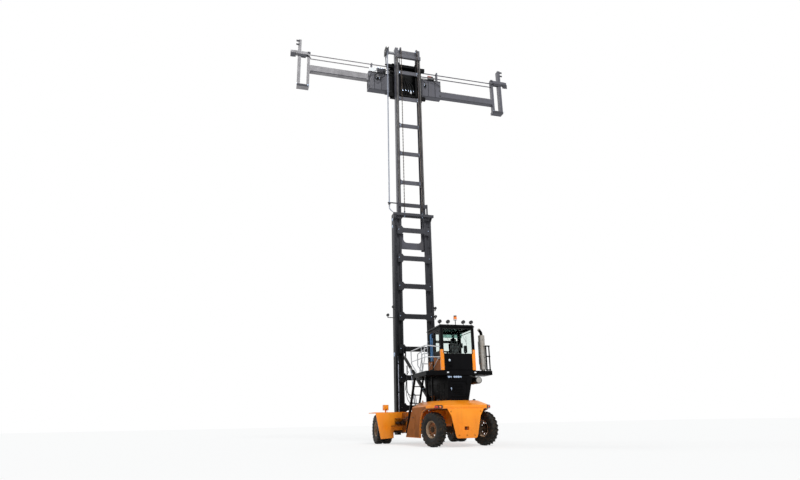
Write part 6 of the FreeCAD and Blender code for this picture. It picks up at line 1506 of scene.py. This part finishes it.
def makeCentreParts(setup):
    shape = newShape()
    rear, top, bottom, half = setup["rear"], setup["top"], setup["bottom"], setup["half"]
    x0, x1, z0, z1 = setup["plate"]
    addPlate(shape, roundOutline(box4((x0, z0), (x1, z1)), 0.02, 3), "y", rear + 0.004, rear + 0.016, 0.003, 1)
    for x in (x0 + 0.04, x1 - 0.04):
        addRod(shape, (x, rear - 0.01, top - 0.02), (x, rear - 0.01, z1 - 0.02), 0.014, 10)
    for side in (1, -1):  # ribs, flanges and wear-pad carriers round the arms' tunnels
        for x in (1.02, 1.40, 1.80):
            addBlock(shape, (side * x - 0.012, rear - 0.002, bottom + 0.03),
                     (side * x + 0.012, rear + 0.025, top - 0.03), 0.003)
        for z in (top - 0.03, bottom):
            addBlock(shape, (side * 0.95, rear - 0.002, z), (side * half, rear + 0.028, z + 0.03))
        for z in (18.78, 19.10, 19.42):
            addBlock(shape, (side * (half - 0.09), rear - 0.002, z - 0.05),
                     (side * (half - 0.01), rear + 0.022, z + 0.05), 0.004, 4)
    for x, z, size in ((1.62, 19.36, 0.10), (-1.20, 19.30, 0.085)):  # telescope motors
        addTurned(shape, [(0, size), (0.03, size), (0.034, size * 0.72), (0.15, size * 0.72), (0.155, size * 0.6),
                          (0.165, size * 0.55), (0.165, 0)], (x, rear, z), rearward, 28, 3)
        for k in range(6):
            angle = 2 * math.pi * k / 6
            addBolt(shape, (x + math.cos(angle) * size * 0.85, rear + 0.03, z + math.sin(angle) * size * 0.85),
                    rearward, 0.009, 2)
    for i in range(6):  # valve block with its solenoids
        x = 1.27 + i * 0.068
        addBlock(shape, (x - 0.028, rear + 0.085, 19.76), (x + 0.028, rear + 0.12, 19.93), 0.006)
        addTurned(shape, [(0, 0.022), (0.06, 0.022), (0.064, 0.014), (0.08, 0.012), (0.08, 0)],
                  (x, rear + 0.10, 19.93), skyward, 16, 2 if i % 2 else 5)
    for loop in (
            [(1.28, -2.93, 19.77), (1.18, -2.90, 19.60), (1.30, -2.91, 19.38), (1.52, -2.91, 19.32)],
            [(1.34, -2.93, 19.77), (1.28, -2.88, 19.58), (1.44, -2.89, 19.48), (1.60, -2.92, 19.42)],
            [(1.48, -2.93, 19.77), (1.52, -2.87, 19.62), (1.74, -2.88, 19.56), (1.74, -2.93, 19.36)],
            [(1.60, -2.93, 19.78), (1.80, -2.90, 19.72), (2.02, -2.93, 19.52), (2.08, -2.99, 19.30),
             (2.10, -3.02, 19.12)],
            [(1.26, -2.93, 19.80), (1.06, -2.88, 19.70), (0.86, -2.885, 19.60), (0.74, -2.89, 19.48)],
            [(-0.74, -2.89, 19.50), (-0.94, -2.885, 19.58), (-1.08, -2.91, 19.48), (-1.18, -2.91, 19.38)],
            [(-0.74, -2.89, 19.58), (-1.04, -2.885, 19.68), (-1.60, -2.95, 19.64), (-2.05, -2.99, 19.40)]):
        addPipe(shape, loop, 0.14, 6, 0.015, 8, 6)
    ring = [(1.62 + 0.19 * math.cos(k * math.pi / 12), -2.90, 19.36 + 0.20 * math.sin(k * math.pi / 12))
            for k in range(-4, 20)]
    addTube(shape, ring, 0.024, 10, 6)  # slack hose tied in a ring beside the motor
    addBlock(shape, (-1.75, rear - 0.02, top), (-1.35, rear + 0.10, top + 0.14), 0.010, 3)
    addTurned(shape, [(0, 0.055), (0.20, 0.055), (0.206, 0.04), (0.22, 0)], (-1.56, rear + 0.04, top + 0.19),
              leftward, 24, 7)
    addTurned(shape, [(0, 0.045), (0.10, 0.045), (0.106, 0.03), (0.11, 0)], (-1.58, rear + 0.04, top + 0.19),
              (-1, 0, 0), 24, 3)
    front = setup["front"]
    for low, high in ((-2.02, -1.08), (-0.92, 0.92), (1.08, 2.02)):  # bolted covers over the front's openings
        addPlate(shape, roundOutline(box4((low, 18.76), (high, 19.56)), 0.06, 3), "y", front - 0.012, front + 0.002)
        for x in (low + 0.07, (low + high) / 2, high - 0.07):
            for z in (18.83, 19.49):
                addBolt(shape, (x, front - 0.012, z), forward, 0.012, 2)
    for z in (18.63, 19.66):
        addBlock(shape, (-half + 0.02, front - 0.02, z - 0.02), (half - 0.02, front + 0.002, z + 0.02))
    for x in (1.1, -1.1):  # floodlights under the middle
        lamp, aim = (x, -3.16, bottom - 0.09), (0, -0.35, -1)
        addBlock(shape, (x - 0.012, -3.20, bottom - 0.10), (x + 0.012, -3.12, bottom + 0.01), 0.003)
        addTurned(shape, [(0, 0.045), (0.05, 0.075), (0.07, 0.080), (0.074, 0.07), (0.070, 0)], lamp, aim, 24, 3)
        addTurned(shape, [(0.068, 0.07), (0.074, 0.04), (0.076, 0)], lamp, aim, 24, 8)
    finishPiece("spreaderFittings", shape,
                ["mastEnamel", "whitePlastic", "zincPlate", "lampHousing", "mouldedPlastic", "cleanChrome",
                 "blackHose", "redEnamel", "clearLens"], "spreader")


def makeArmParts(setup, side, name):
    shape = newShape()
    rear, inner, outer, lock = setup["armRear"], setup["endInner"], setup["endOuter"], setup["lock"]
    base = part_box("spreader_centre")[0][2] + setup["rise"][name]
    for low, high, near, far in ((lock - 0.11, lock + 0.06, 0.10, 0.66), (18.2, 18.33, 0.0, 0.66),
                                 (lock - 0.20, lock + 0.09, 0.78, 1.05), (20.30, 20.42, -0.02, 0.14),
                                 (20.75, 20.86, 0.60, 0.78), (20.98, 21.10, 0.60, 0.78)):
        addBlock(shape, (side * (inner + near), rear - 0.003, low),
                 (side * (inner + far), rear + 0.010, high), 0.004, 2)
    for low, high, paint in ((0.004, 0.055, 2), (0.37, 0.396, 0)):
        addBlock(shape, (side * 2.25, rear - 0.002, base + low),
                 (side * 5.40, rear + 0.003, base + high), 0.001, paint)
    for x in (inner + 0.05, outer + 0.06):
        for z in (18.28, 18.34):
            addBolt(shape, (side * x, rear, z), rearward, 0.012, 1)
    for near, far, radius, sides, edge, paint in ((inner + 0.22, outer - 0.14, 0.045, 20, 0.008, 2),
                                                  (outer - 0.14, outer + 0.02, 0.022, 16, 0.003, 3)):
        addRod(shape, (side * near, rear - 0.16, 20.16), (side * far, rear - 0.16, 20.16), radius, sides, edge, paint)
    for k in range(2):
        addPipe(shape, [(side * (inner - 0.05), rear - 0.05, 20.02 + k * 0.06),
                        (side * (inner + 0.06), rear + 0.04, 20.10 + k * 0.05),
                        (side * (inner + 0.22), rear + 0.02, 20.22),
                        (side * (inner + 0.30), rear - 0.10, 20.20)], 0.08, 5, 0.012, 8, 4)
    addBlock(shape, (side * (inner + 0.12), rear - 0.10, 20.30), (side * (inner + 0.30), rear - 0.01, 20.42), 0.008, 5)
    finishPiece(f"armFittings_{name}", shape, ["litCopyGreyEnamel", "zincPlate", "mastEnamel", "cleanChrome", "blackHose",
                                               "lampHousing"], f"arm_{name}")


makeCarriageParts()
makeShiftParts()
makeCentreParts(spreaderSetup)
for side, name in sides:
    makeArmParts(spreaderSetup, side, name)
print("spreader made")
